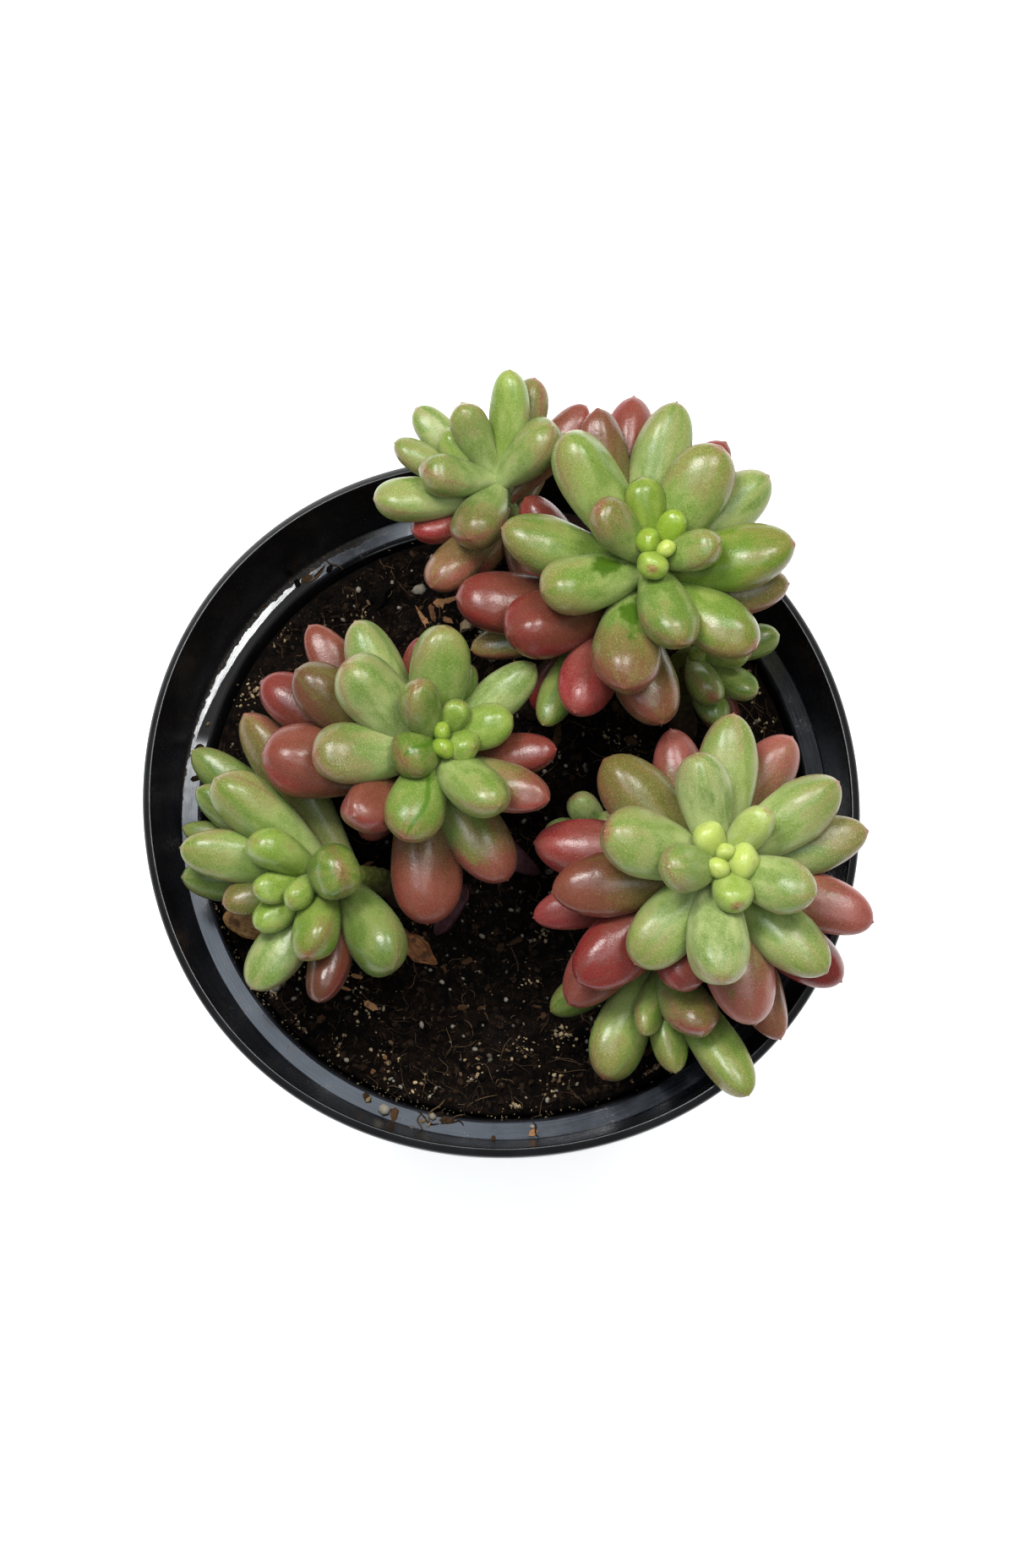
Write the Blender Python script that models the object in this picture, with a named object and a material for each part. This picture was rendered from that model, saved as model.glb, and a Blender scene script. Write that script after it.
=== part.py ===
"""A potted sedum: a thin plastic nursery pot, its fill of peat, eight leafy stems and what lies on the soil.

Lengths are millimetres until a mesh is made, where MM turns them into metres. +Z is up, the origin is the
middle of the pot's flat underside, +X is the photograph's right and +Y the photograph's top.
"""
from math import cos, pi, radians, sin, sqrt

import bmesh
import bpy
import numpy as np

MM = 0.001

# Pot: outer radii and heights, bottom to top
POT_HEIGHT = 88.0
RIM_RADIUS = 53.5
BASE_RADIUS = 36.5
WALL = 1.15
FLOOR = 1.3
LEDGE_HEIGHT = 73.0
LEDGE_INNER = 46.4
LEDGE_OUTER = 49.0
LIP_DEPTH = 3.2
POT_SIDES = 48
LOBES = ((1, 0.40, 151), (2, 0.60, 145), (3, 0.09, 115), (4, 0.33, 48))
DRAIN_COUNT = 6
DRAIN_RADIUS = 4.0
DRAIN_CIRCLE = 27.0
DRAIN_TURN = radians(22)

# Soil
GAP = 0.35
SOIL_TOP = 72.2
SOIL_RELIEF = 0.7
SOIL_SIDES = 42
SOIL_RINGS = 7
ROOT_DEPTH = 9.0
HOLE_SIDES = 10

# Where the photograph was taken from, for places that are read off it
POT_PIXEL = (594.0, 950.0)
PIXELS_PER_MM = 7.97
SIGHT_DISTANCE = 750.0
SIGHT_ELEVATION = radians(79.5)
SIGHT_AZIMUTH = radians(10.0)

# Stems and leaves
STEM_RADIUS = 2.3
STEM_TAPER = 0.72
STEM_SIDES = 8
STEM_RINGS = 8
ARCH = 0.38
LEAF_MIN = 3.5
LEAF_GAIN = 17.5
LEAF_MIDDLE = 5.2
LEAF_PACE = 1.9
LEAF_THICKNESS = 0.86
LEAF_BOW = 0.12
LEAF_PEAK = 0.69
LEAF_NECK = 0.46
LEAF_PLUMP = 1.07
LEAF_RINGS = (0.0, 0.30, 0.68, 0.91)
LEAF_SIDES = 7
BUD_RINGS = (0.0, 0.42, 0.86)
BUD_SIDES = 6
BUD_WIDTH = 4.5
ROUND_UP = 1.04

# The oldest leaves, under the ones that the photograph shows
GOLDEN_ANGLE = 137.5
OLD_LENGTH = 13.0
OLD_WIDTH = 6.4
OLD_SPACING = 1.5
OLD_LEAN = 100.0
OLD_SPREAD = 12.0
SEED = 11

# How the leaves are bent clear of each other
BEADS = np.array([0.10, 0.22, 0.34, 0.46, 0.58, 0.70, 0.82, 0.93])
BEND_ROUNDS = 150
BEND_GAP = 0.5
BEND_SNUG = 0.75
BEND_KEEP = 0.05
BEND_SIGHT = 0.75
BEND_LATE = 0.7
BEND_CALM = 0.3
BEND_LAST = 14
BEND_STEP = 0.5
BEND_MOST = 0.12
CROWD = 8.0
STALK_CROWD = 16.0
STALK_KNOTS = 24
PRESSING = 0.45
WALL_LINE = ((49.2, 72.0), (52.5, 87.0))
WALL_HALF = 1.3
LITTER_HEADROOM = 2.4
SHORTEST_ARM = 2.0
TINY = 1e-9

# Each leaf, in order down its stem: its tip's pixel in the photograph and its width in mm,
# and its length in mm where that isn't the length that its age gives
RIGHT_LEAVES = (
    (860, 1006, 2.2), (848, 1028, 2.6), (886, 1021, 4.0), (838, 978, 4.6), (866, 1062, 5.6), (910, 964, 5.3),
    (814, 1026, 6.6), (958, 1052, 7.6), (825, 901, 7.4), (755, 1146, 8.8), (994, 925, 8.3), (716, 984, 9.4),
    (862, 1140, 8.8), (868, 843, 8.6), (650, 1048, 8.9), (984, 1148, 8.1), (716, 896, 9.0), (887, 1216, 9.4),
    (1028, 982, 8.1), (629, 1005, 8.6), (1026, 1113, 8.1), (790, 862, 7.6), (685, 1172, 9.4), (1006, 1152, 8.0),
    (924, 1231, 7.4), (938, 871, 7.8), (630, 1086, 6.6), (795, 1160, 8.0), (672, 1190, 8.4))
UPPER_RIGHT_LEAVES = (
    (784, 642, 2.2), (764, 636, 3.0), (772, 668, 3.6), (811, 605, 4.0), (763, 563, 5.8), (845, 636, 6.0),
    (727, 601, 6.6), (808, 763, 8.0), (641, 700, 8.2), (672, 506, 8.8), (840, 519, 9.2), (941, 636, 9.2),
    (895, 767, 9.2), (589, 628, 8.6), (738, 815, 9.4), (818, 478, 8.3), (912, 563, 8.2), (712, 481, 7.2),
    (935, 690, 7.8), (599, 756, 9.4), (742, 463, 8.2), (778, 863, 9.4), (860, 522, 7.0), (679, 851, 8.2),
    (537, 690, 9.0), (621, 588, 6.6), (556, 768, 5.8), (648, 860, 5.6))
MIDDLE_LEAVES = (
    (523, 866, 2.2), (533, 884, 2.6), (556, 880, 4.0), (545, 828, 4.2), (497, 893, 6.8), (602, 840, 6.2),
    (507, 805, 6.2), (478, 992, 8.3), (608, 953, 7.7), (369, 888, 8.7), (404, 778, 8.9), (533, 738, 8.4),
    (632, 800, 6.4), (644, 941, 7.2), (434, 727, 7.8), (591, 1049, 8.7), (497, 1095, 9.8), (350, 787, 8.2),
    (652, 880, 6.4), (306, 888, 10.2), (348, 753, 7.0), (306, 808, 8.0), (418, 966, 8.0), (485, 762, 6.0),
    (549, 790, 5.5))
LOWER_LEFT_LEAVES = (
    (329, 1070, 4.6, 9), (304, 1048, 3.8, 10), (403, 1031, 8.0, 13), (297, 1094, 5.2, 12), (293, 1013, 6.6, 14),
    (366, 1136, 7.4, 15), (212, 1003, 7.1, 20), (293, 1168, 7.6, 20), (245, 924, 8.4), (470, 1146, 8.8),
    (259, 1055, 5.6, 14), (211, 1046, 6.4), (400, 1165, 6.6), (228, 939, 6.0), (216, 964, 5.0), (281, 849, 7.8),
    (231, 876, 6.4))
UPPER_LEFT_LEAVES = (
    (543, 479, 5.2, 13), (491, 567, 6.8, 13), (519, 513, 3.8, 10), (651, 494, 7.4, 14), (580, 624, 7.6, 14),
    (611, 441, 6.0, 18), (446, 598, 7.0, 19), (475, 505, 5.0, 15), (491, 481, 5.4, 17), (533, 481, 3.4, 14),
    (636, 447, 5.6, 18), (692, 477, 6.0, 18), (499, 688, 6.6, 18), (519, 640, 5.4, 15))
LOWER_RIGHT_LEAVES = (
    (792, 1152, 2.4), (771, 1234, 4.6, 13), (802, 1267, 5.4, 17), (848, 1237, 7.4, 17), (706, 1269, 8.2, 20),
    (880, 1297, 6.8, 26), (649, 1195, 5.6, 17))
RIGHT_OFFSET_LEAVES = (
    (840, 790, 2.4), (859, 823, 5.6, 11), (879, 791, 5.4, 11), (884, 815, 4.6, 12), (860, 842, 4.8, 12),
    (923, 751, 5.0, 13))
SMALL_OFFSET_LEAVES = ((710, 962, 3.2, 6), (677, 951, 4.6, 9), (650, 978, 5.2, 10))

# Each stem: name, foot in the soil (x, y), growing tip's pixel and height, lean (bearing, tilt) in degrees,
# distance between leaves, leaves, and how many of the oldest leaves hide below them;
# the list runs from the stem that lies over the others to the lowest
STEMS = (
    ("stem_upper_right", (4, 18), (778, 650), 117, (50, 14), 0.68, UPPER_RIGHT_LEAVES, 5),
    ("stem_right", (25, -9), (857, 1018), 110, (0, 8), 0.54, RIGHT_LEAVES, 4),
    ("stem_middle", (-14, 2), (528, 874), 108, (20, 28), 0.62, MIDDLE_LEAVES, 4),
    ("stem_upper_left", (5, 31), (583, 563), 104, (120, 36), 0.50, UPPER_LEFT_LEAVES, 4),
    ("stem_lower_left", (-16, -11), (364, 1040), 96, (200, 45), 0.62, LOWER_LEFT_LEAVES, 1),
    ("stem_lower_right", (19, -20), (788, 1143), 89, (300, 50), 0.62, LOWER_RIGHT_LEAVES, 0),
    ("stem_right_offset", (27, 14), (826, 778), 93, (-30, 45), 0.50, RIGHT_OFFSET_LEAVES, 1),
    ("stem_small_offset", (13, -3), (714, 986), 87, (165, 35), 0.50, SMALL_OFFSET_LEAVES, 0))

# What lies on the soil: name, middle (x, y), length, width, height, bearing in degrees
LITTER = (
    ("bark_chip", (-38.5, -15.6), 8.6, 6.2, 4.2, -15),
    ("dry_leaf", (-14.2, -18.8), 10.0, 4.6, 1.8, -38),
    ("fallen_leaf_left", (-8.2, -13.6), 9.0, 4.2, 2.2, 60),
    ("fallen_leaf_right", (0.8, -5.6), 10.5, 4.4, 2.4, 150))
LITTER_CLEAR = 2.5
LITTER_SEAT = 0.3


def unit(vectors):
    """Vectors of length one."""
    vectors = np.asarray(vectors, float)
    return vectors / np.linalg.norm(vectors, axis=-1, keepdims=True)


def view_axes():
    """The photograph's right, its top and the way back to the camera, as unit vectors."""
    flat = cos(SIGHT_ELEVATION)
    toward = np.array([sin(SIGHT_AZIMUTH) * flat, -cos(SIGHT_AZIMUTH) * flat, sin(SIGHT_ELEVATION)])
    up = np.array([0.0, 1.0, 0.0])
    up = unit(up - toward * (up @ toward))
    return np.cross(up, toward), up, toward


RIGHT, UP, TOWARD = view_axes()
RIM_CENTRE = np.array([0.0, 0.0, POT_HEIGHT])
EYE = RIM_CENTRE + SIGHT_DISTANCE * TOWARD


def sight_line(pixel):
    """Unit vector from the camera through a pixel of the photograph."""
    across = (pixel[0] - POT_PIXEL[0]) / PIXELS_PER_MM
    above = (POT_PIXEL[1] - pixel[1]) / PIXELS_PER_MM
    return unit(RIM_CENTRE + across * RIGHT + above * UP - EYE)


def seen_at(pixel, height):
    """The point at a height that the photograph shows at a pixel."""
    ray = sight_line(pixel)
    return EYE + ray * (height - EYE[2]) / ray[2]


def bearing(degrees, tilt):
    """Unit vector leaning by tilt degrees from upright, towards a bearing counted from +X."""
    turn, lean = radians(degrees), radians(tilt)
    return np.array([cos(turn) * sin(lean), sin(turn) * sin(lean), cos(lean)])


def oval(angles, heights):
    """How far the thin pot is out of round: lobes, each with a count, a height and a crest's bearing."""
    lobes = sum(size * np.cos(count * (angles - radians(crest))) for count, size, crest in LOBES)
    return lobes * np.clip(heights / POT_HEIGHT, 0, 1) ** 2


def new_object(name, points, faces, material, smooth=True):
    """A named object made of points in millimetres."""
    mesh = bpy.data.meshes.new(name)
    mesh.from_pydata((np.asarray(points) * MM).tolist(), [], faces)
    mesh.validate()
    thing = bpy.data.objects.new(name, mesh)
    bpy.context.scene.collection.objects.link(thing)
    if material:
        mesh.materials.append(material)
    if smooth:
        mesh.shade_smooth()
        mesh.set_sharp_from_angle(angle=radians(40))
    return thing


def plain_material(name, colour, roughness, metallic=0.0):
    """A Principled material of one colour."""
    material = bpy.data.materials.new(name)
    material.use_nodes = True
    shader = material.node_tree.nodes["Principled BSDF"]
    shader.inputs["Base Color"].default_value = (*colour, 1.0)
    shader.inputs["Roughness"].default_value = roughness
    shader.inputs["Metallic"].default_value = metallic
    material.diffuse_color = (*colour, 1.0)
    return material


def tube_faces(rings, sides):
    """Quads between rings of points, with a fan to a first and a last single point."""
    first = [[0, 1 + (s + 1) % sides, 1 + s] for s in range(sides)]
    middle = []
    for r in range(rings - 1):
        low, high = 1 + r * sides, 1 + (r + 1) * sides
        middle += [[low + s, low + (s + 1) % sides, high + (s + 1) % sides, high + s] for s in range(sides)]
    top = 1 + (rings - 1) * sides
    last = [[top + s, top + (s + 1) % sides, top + sides] for s in range(sides)]
    return first + middle + last


def turned(name, profile, sides, material, shift=None):
    """A profile of (radius, height) pairs from the axis and back to it, turned about the axis."""
    profile = np.asarray(profile, float)
    rings = profile[1:-1]
    angles = np.arange(sides) * 2 * pi / sides
    radius = rings[:, 0, None] + (shift(angles[None, :], rings[:, 1, None]) if shift else 0)
    height = np.broadcast_to(rings[:, 1, None], radius.shape)
    ring_points = np.stack([radius * np.cos(angles), radius * np.sin(angles), height], -1).reshape(-1, 3)
    points = np.concatenate([[[0, 0, profile[0, 1]]], ring_points, [[0, 0, profile[-1, 1]]]])
    return new_object(name, points, tube_faces(len(rings), sides), material)


def pot_inner(height):
    """Radius of the pot's inner wall below the ledge."""
    low, high = BASE_RADIUS - WALL, LEDGE_INNER - 0.7
    return low + (high - low) * (height - FLOOR) / (LEDGE_HEIGHT - FLOOR)


def make_pot(material):
    """The pot: a tapered wall, a step that pots stack on, a flared band and a turned-out lip."""
    body_top = LEDGE_HEIGHT - WALL
    band_top = POT_HEIGHT - LIP_DEPTH
    profile = [
        (0, 0), (BASE_RADIUS - 1.3, 0), (BASE_RADIUS, 1.0),
        (pot_inner(body_top) + WALL, body_top - 0.8), (pot_inner(body_top) + WALL + 0.7, body_top),
        (LEDGE_OUTER + 0.9, LEDGE_HEIGHT - 0.7), (LEDGE_OUTER + WALL + 0.1, LEDGE_HEIGHT + 0.3),
        (RIM_RADIUS - 1.0, band_top), (RIM_RADIUS - 0.1, band_top + 0.3), (RIM_RADIUS, POT_HEIGHT - 0.8),
        (RIM_RADIUS - 0.5, POT_HEIGHT), (RIM_RADIUS - 1.1, POT_HEIGHT - 0.1),
        (RIM_RADIUS - 1.5, POT_HEIGHT - 1.2),
        (LEDGE_OUTER, LEDGE_HEIGHT + 0.5), (LEDGE_OUTER - 0.5, LEDGE_HEIGHT),
        (LEDGE_INNER + 0.4, LEDGE_HEIGHT), (LEDGE_INNER - 0.5, LEDGE_HEIGHT - 0.5),
        (pot_inner(body_top), body_top - 0.6), (pot_inner(FLOOR + 1.0), FLOOR + 1.0),
        (pot_inner(FLOOR) - 1.0, FLOOR), (0, FLOOR)]
    pot = turned("pot", profile, POT_SIDES, material, oval)
    for i in range(DRAIN_COUNT):
        turn = 2 * pi * i / DRAIN_COUNT + DRAIN_TURN
        place = (DRAIN_CIRCLE * cos(turn), DRAIN_CIRCLE * sin(turn))
        cut(pot, round_cutter(f"drain_{i + 1}", place, DRAIN_RADIUS, -1.0, FLOOR + 1.0, HOLE_SIDES))
    return pot


def round_cutter(name, place, radius, bottom, top, sides):
    """An upright round cutter, kept out of the render."""
    bpy.ops.mesh.primitive_cylinder_add(
        vertices=sides, radius=radius * MM, depth=(top - bottom) * MM,
        location=(place[0] * MM, place[1] * MM, (top + bottom) / 2 * MM))
    cutter = bpy.context.object
    cutter.name = name
    cutter.hide_render = True
    cutter.display_type = "WIRE"
    return cutter


def cut(body, cutter):
    """Take the cutter out of the body and remove the cutter."""
    boolean = body.modifiers.new("cut", "BOOLEAN")
    boolean.operation = "DIFFERENCE"
    boolean.solver = "EXACT"
    boolean.object = cutter
    apply_modifiers(body)
    bpy.data.objects.remove(cutter)


def apply_modifiers(thing):
    """Replace an object's mesh by what its modifiers make of it."""
    bpy.context.view_layer.update()
    shown = thing.evaluated_get(bpy.context.evaluated_depsgraph_get())
    mesh = bpy.data.meshes.new_from_object(shown)
    thing.modifiers.clear()
    thing.data = mesh


def soil_height(x, y):
    """Height of the soil: low waves crossing at odd angles, level where something lies on it."""
    waves = (np.sin(0.31 * x + 0.17 * y + 0.8) + np.sin(0.53 * y - 0.21 * x + 2.1)
             + 0.8 * np.sin(0.72 * x + 0.66 * y + 4.0) + 0.6 * np.sin(1.15 * x - 0.83 * y + 1.3))
    rise = SOIL_RELIEF * waves * 0.5
    for _, (cx, cy), length, _, _, _ in LITTER:
        near = np.hypot(x - cx, y - cy) - length / 2
        rise = np.where(near < LITTER_CLEAR, np.minimum(rise, 0) * np.clip(near / LITTER_CLEAR, 0, 1), rise)
    return SOIL_TOP + rise


def make_soil(material):
    """The fill of peat: it stands clear of the pot's wall, with an uneven top and a hole for each stem."""
    angles = np.arange(SOIL_SIDES) * 2 * pi / SOIL_SIDES
    edge_top = SOIL_TOP - 1.2
    side = [(BASE_RADIUS - WALL - 1.6, FLOOR + GAP), (pot_inner(FLOOR + 1.5) - GAP, FLOOR + 1.5),
            (pot_inner(edge_top) - GAP, edge_top)]
    rings = []
    for radius, height in side:
        wide = radius + oval(angles, height) * 0.95
        rings.append(np.stack([wide * np.cos(angles), wide * np.sin(angles), np.full(SOIL_SIDES, height)], -1))
    outer = rings[-1][:, :2]
    for i in range(SOIL_RINGS):
        flat = outer * (0.985 - 0.985 * i / SOIL_RINGS)
        rings.append(np.column_stack([flat, soil_height(flat[:, 0], flat[:, 1])]))
    middle = soil_height(np.zeros(1), np.zeros(1))[0]
    points = np.concatenate([[[0, 0, FLOOR + GAP]], *rings, [[0, 0, middle]]])
    soil = new_object("soil", points, tube_faces(len(rings), SOIL_SIDES), material)
    for name, foot, *_ in STEMS:
        hole = round_cutter(f"hole_{name}", foot, STEM_RADIUS + GAP + 0.1, SOIL_TOP - ROOT_DEPTH - GAP,
                            SOIL_TOP + 5, HOLE_SIDES)
        cut(soil, hole)
    return soil


class Stem:
    """A stem's path and the leaves that it carries."""

    def __init__(self, rank, name, foot, tip_pixel, tip_height, lean, spacing, readings, old_leaves):
        self.rank = rank
        self.name = name
        self.foot = np.array([foot[0], foot[1], SOIL_TOP + 1.0])
        self.crown = seen_at(tip_pixel, tip_height)
        self.axis = bearing(*lean)
        self.spacing = spacing
        self.readings = readings
        self.old_leaves = old_leaves

    def path(self, count):
        """Points from the soil to the growing tip: a cubic curve that starts upright and ends along the lean."""
        arm = ARCH * np.linalg.norm(self.crown - self.foot)
        low = self.foot + np.array([0, 0, arm])
        high = self.crown - arm * self.axis
        t = np.linspace(0, 1, count)[:, None]
        return ((1 - t) ** 3 * self.foot + 3 * (1 - t) ** 2 * t * low
                + 3 * (1 - t) * t ** 2 * high + t ** 3 * self.crown)

    def below_tip(self, down):
        """Points and directions at distances below the growing tip."""
        line = self.path(300)[::-1]
        run = np.concatenate([[0], np.cumsum(np.linalg.norm(np.diff(line, axis=0), axis=1))])
        here = np.stack([np.interp(down, run, line[:, i]) for i in range(3)], -1)
        lower = np.stack([np.interp(down + 0.5, run, line[:, i]) for i in range(3)], -1)
        return here, unit(here - lower)

    def leaves(self):
        """Root, direction, length, width and upper side of each leaf.

        A leaf's root lies further down the stem the older it is, and its length grows with age along an S curve.
        Its tip is the nearer point of its sight line that lies at the leaf's length from the root.
        """
        age = np.arange(len(self.readings))
        roots, axes = self.below_tip(0.3 + self.spacing * age * (0.75 + 0.012 * age))
        ruled = LEAF_MIN + LEAF_GAIN / (1 + np.exp(-(age - LEAF_MIDDLE) / LEAF_PACE))
        grown = []
        for i, (x, y, width, *given) in enumerate(self.readings):
            length = given[0] if given else ruled[i]
            ray = sight_line((x, y))
            beside = EYE + ray * ((roots[i] - EYE) @ ray)
            aside = np.linalg.norm(beside - roots[i])
            length = max(length, aside)
            tip = beside - sqrt(length ** 2 - aside ** 2) * ray
            grown.append((roots[i], unit(tip - roots[i]), length, LEAF_PLUMP * width, axes[i]))
        return grown + self.hidden_leaves(0.3 + self.spacing * age[-1] * (0.75 + 0.012 * age[-1]))

    def hidden_leaves(self, lowest):
        """The oldest leaves: shorter, hanging a little, one golden angle on from each other down the stem."""
        draw = np.random.default_rng(SEED + self.rank)
        number = np.arange(self.old_leaves)
        roots, axes = self.below_tip(lowest + OLD_SPACING * (number + 1.0))
        turns = draw.uniform(0, 360) + GOLDEN_ANGLE * number
        leans = OLD_LEAN + draw.uniform(-OLD_SPREAD, OLD_SPREAD, self.old_leaves)
        sizes = draw.uniform(0.85, 1.1, self.old_leaves)
        return [(roots[i], bearing(turns[i], leans[i]), OLD_LENGTH * sizes[i], OLD_WIDTH * sizes[i], axes[i])
                for i in number]


def half_width(u):
    """A leaf's outline along its length, 0 at the root and 1 at the tip: a blunt club with a narrow neck."""
    rise = LEAF_NECK + (1 - LEAF_NECK) * np.sin(pi / 2 * np.clip(u / LEAF_PEAK, 0, 1)) ** 1.3
    past = np.clip((u - LEAF_PEAK) / (1 - LEAF_PEAK), 0, 1)
    return np.where(u < LEAF_PEAK, rise, np.sqrt(1 - past ** 2.6))


def bend_clear(stems):
    """Turn the leaves about their roots until none touches another stem's leaves, a stem, the pot or the soil.

    Each leaf is a row of beads. Beads that are too close push their leaves apart, for the most part along the
    line of sight, the leaf that lies over the other towards the camera, and a weak pull keeps each leaf's aim.
    """
    rows = [(stem.rank, age, *leaf) for stem in stems for age, leaf in enumerate(stem.leaves())]
    owner, age, root, aim, length, width, axes = (np.array(column) for column in zip(*rows))
    count, beads = len(rows), len(BEADS)
    reach = BEADS[None, :] * length[:, None]
    radius = (half_width(BEADS)[None, :] * width[:, None] / 2).ravel()
    leaf = np.repeat(np.arange(count), beads)
    outer = np.tile(BEADS > PRESSING, count)
    own = owner[leaf]
    level = 100 * owner + age

    def places(way):
        return (root[:, None] + way[:, None] * reach[:, :, None]).reshape(-1, 3)

    start = places(aim)
    i, j = np.triu_indices(count * beads, 1)
    same = own[i] == own[j]
    need = np.where(same, BEND_SNUG * (radius[i] + radius[j]), radius[i] + radius[j] + BEND_GAP)
    use = (leaf[i] != leaf[j]) & (~same | (outer[i] & outer[j]))
    use &= np.linalg.norm(start[i] - start[j], axis=1) < need + CROWD
    i, j, need, same = i[use], j[use], need[use], same[use]
    over = np.where(level[leaf[i]] < level[leaf[j]], 1.0, -1.0)[:, None] * TOWARD
    paths = [stem.path(STALK_KNOTS)[2:] for stem in stems]
    stalk = np.concatenate(paths)
    stalk_owner = np.repeat([stem.rank for stem in stems], [len(path) for path in paths])
    bead, knot = np.nonzero(own[:, None] != stalk_owner[None, :])
    near = np.linalg.norm(start[bead] - stalk[knot], axis=1) < STALK_CROWD
    bead, knot = bead[near], knot[near]
    low, high = (np.array(end) for end in WALL_LINE)
    lean = (high - low) / ((high - low) @ (high - low))

    way = aim.copy()
    for step in range(BEND_ROUNDS):
        late = step > BEND_LATE * BEND_ROUNDS
        place = places(way)
        push = np.zeros_like(place)
        apart = place[i] - place[j]
        distance = np.linalg.norm(apart, axis=1) + TINY
        lack = np.clip(need - distance, 0, None)
        lack = np.where(same & late, BEND_CALM * lack, lack)
        sightward = BEND_SIGHT * (BEND_CALM if late else 1.0)
        move = (apart / distance[:, None] * (1 - sightward) + over * sightward) * (lack * 0.5)[:, None]
        apart = place[bead] - stalk[knot]
        distance = np.linalg.norm(apart, axis=1) + TINY
        lack = np.clip(radius[bead] + STEM_RADIUS + BEND_GAP - distance, 0, None)
        dodge = apart / distance[:, None] * lack[:, None]
        for axis in range(3):
            push[:, axis] += np.bincount(i, move[:, axis], len(place)) - np.bincount(j, move[:, axis], len(place))
            push[:, axis] += np.bincount(bead, dodge[:, axis], len(place))
        out = np.hypot(place[:, 0], place[:, 1])
        section = np.stack([out - oval(np.arctan2(place[:, 1], place[:, 0]), place[:, 2]), place[:, 2]], -1)
        along = np.clip((section - low) @ lean, 0, 1)
        away = section - low - along[:, None] * (high - low)
        distance = np.linalg.norm(away, axis=1) + TINY
        away *= (np.clip(radius + WALL_HALF + BEND_GAP - distance, 0, None) / distance)[:, None]
        push[:, 0] += away[:, 0] * place[:, 0] / out
        push[:, 1] += away[:, 0] * place[:, 1] / out
        push[:, 2] += away[:, 1] + np.clip(SOIL_TOP + LITTER_HEADROOM + radius - place[:, 2], 0, None)
        arm = np.maximum(reach.ravel(), SHORTEST_ARM)[:, None]
        turn = (push / arm).reshape(count, beads, 3).sum(1)
        turn -= way * (turn * way).sum(1, keepdims=True)
        size = np.linalg.norm(turn, axis=1, keepdims=True) + TINY
        turn *= np.minimum(size, BEND_MOST) / size
        pull = BEND_KEEP if step < BEND_ROUNDS - BEND_LAST else 0.0
        way = unit(way + BEND_STEP * turn + pull * (aim - way))
    upper = axes - way * (axes * way).sum(1, keepdims=True)
    plain = TOWARD - way * (way @ TOWARD)[:, None]
    upper = np.where(np.linalg.norm(upper, axis=1, keepdims=True) < 0.15, plain, upper)
    return owner, root, way, length, width, unit(upper)


def leaf_object(name, root, way, length, width, upper):
    """One faceted leaf: oval rings along a slightly bowed line, ending in a point."""
    small = width < BUD_WIDTH
    stations = np.array(BUD_RINGS if small else LEAF_RINGS)
    sides = BUD_SIDES if small else LEAF_SIDES
    across = np.cross(way, upper)
    line = root + length * (np.outer(stations, way) + LEAF_BOW * np.outer(stations ** 2 - stations, upper))
    turn = (np.arange(sides) + 0.5) * 2 * pi / sides
    swell = half_width(stations) * width / 2 * ROUND_UP
    ring = (line[:, None]
            + swell[:, None, None] * np.cos(turn)[None, :, None] * across
            + swell[:, None, None] * LEAF_THICKNESS * np.sin(turn)[None, :, None] * -upper)
    points = np.concatenate([[line[0]], ring.reshape(-1, 3), [root + length * way]])
    return new_object(name, points, tube_faces(len(stations), sides), None, smooth=False)


def stalk_object(stem, material):
    """A stem from its root end in the soil to its growing tip, a little thinner towards the tip."""
    path = stem.path(STEM_RINGS)
    root_end = np.array([stem.foot[0], stem.foot[1], SOIL_TOP - ROOT_DEPTH])
    path = np.concatenate([[root_end], path])
    ahead = unit(np.gradient(path, axis=0))
    ahead[:2] = (0, 0, 1)
    side = unit(np.cross(ahead, (0.31, 0.95, 0.0)))
    other = np.cross(ahead, side)
    grown = np.linspace(0, 1, len(path))
    radius = STEM_RADIUS * (1 - (1 - STEM_TAPER) * grown)
    turn = np.arange(STEM_SIDES) * 2 * pi / STEM_SIDES
    ring = path[:, None] + radius[:, None, None] * (
        np.cos(turn)[None, :, None] * side[:, None] + np.sin(turn)[None, :, None] * other[:, None])
    points = np.concatenate([[path[0]], ring.reshape(-1, 3), [path[-1] + ahead[-1] * 0.6]])
    return new_object(stem.name, points, tube_faces(len(path), STEM_SIDES), material, smooth=False)


def keep_largest(mesh):
    """Drop loose scraps and sealed hollows, so that the mesh is one closed body."""
    work = bmesh.new()
    work.from_mesh(mesh)
    bmesh.ops.triangulate(work, faces=work.faces)
    left = set(work.faces)
    bodies = []
    while left:
        heap = [left.pop()]
        body = []
        while heap:
            face = heap.pop()
            body.append(face)
            for edge in face.edges:
                for other in edge.link_faces:
                    if other in left:
                        left.remove(other)
                        heap.append(other)
        bodies.append(body)
    bodies.sort(key=len)
    spare = [face for body in bodies[:-1] for face in body]
    bmesh.ops.delete(work, geom=spare, context="FACES")
    work.to_mesh(mesh)
    work.free()


def fuse(body, parts):
    """Join the parts to the body by one Boolean union on a collection, then remove the parts."""
    group = bpy.data.collections.new("joined")
    bpy.context.scene.collection.children.link(group)
    for part in parts:
        bpy.context.scene.collection.objects.unlink(part)
        group.objects.link(part)
    union = body.modifiers.new("join", "BOOLEAN")
    union.operation = "UNION"
    union.operand_type = "COLLECTION"
    union.collection = group
    union.solver = "MANIFOLD"
    apply_modifiers(body)
    for part in parts:
        bpy.data.objects.remove(part)
    bpy.data.collections.remove(group)
    keep_largest(body.data)
    body.data.shade_smooth()
    body.data.set_sharp_from_angle(angle=radians(50))


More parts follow.
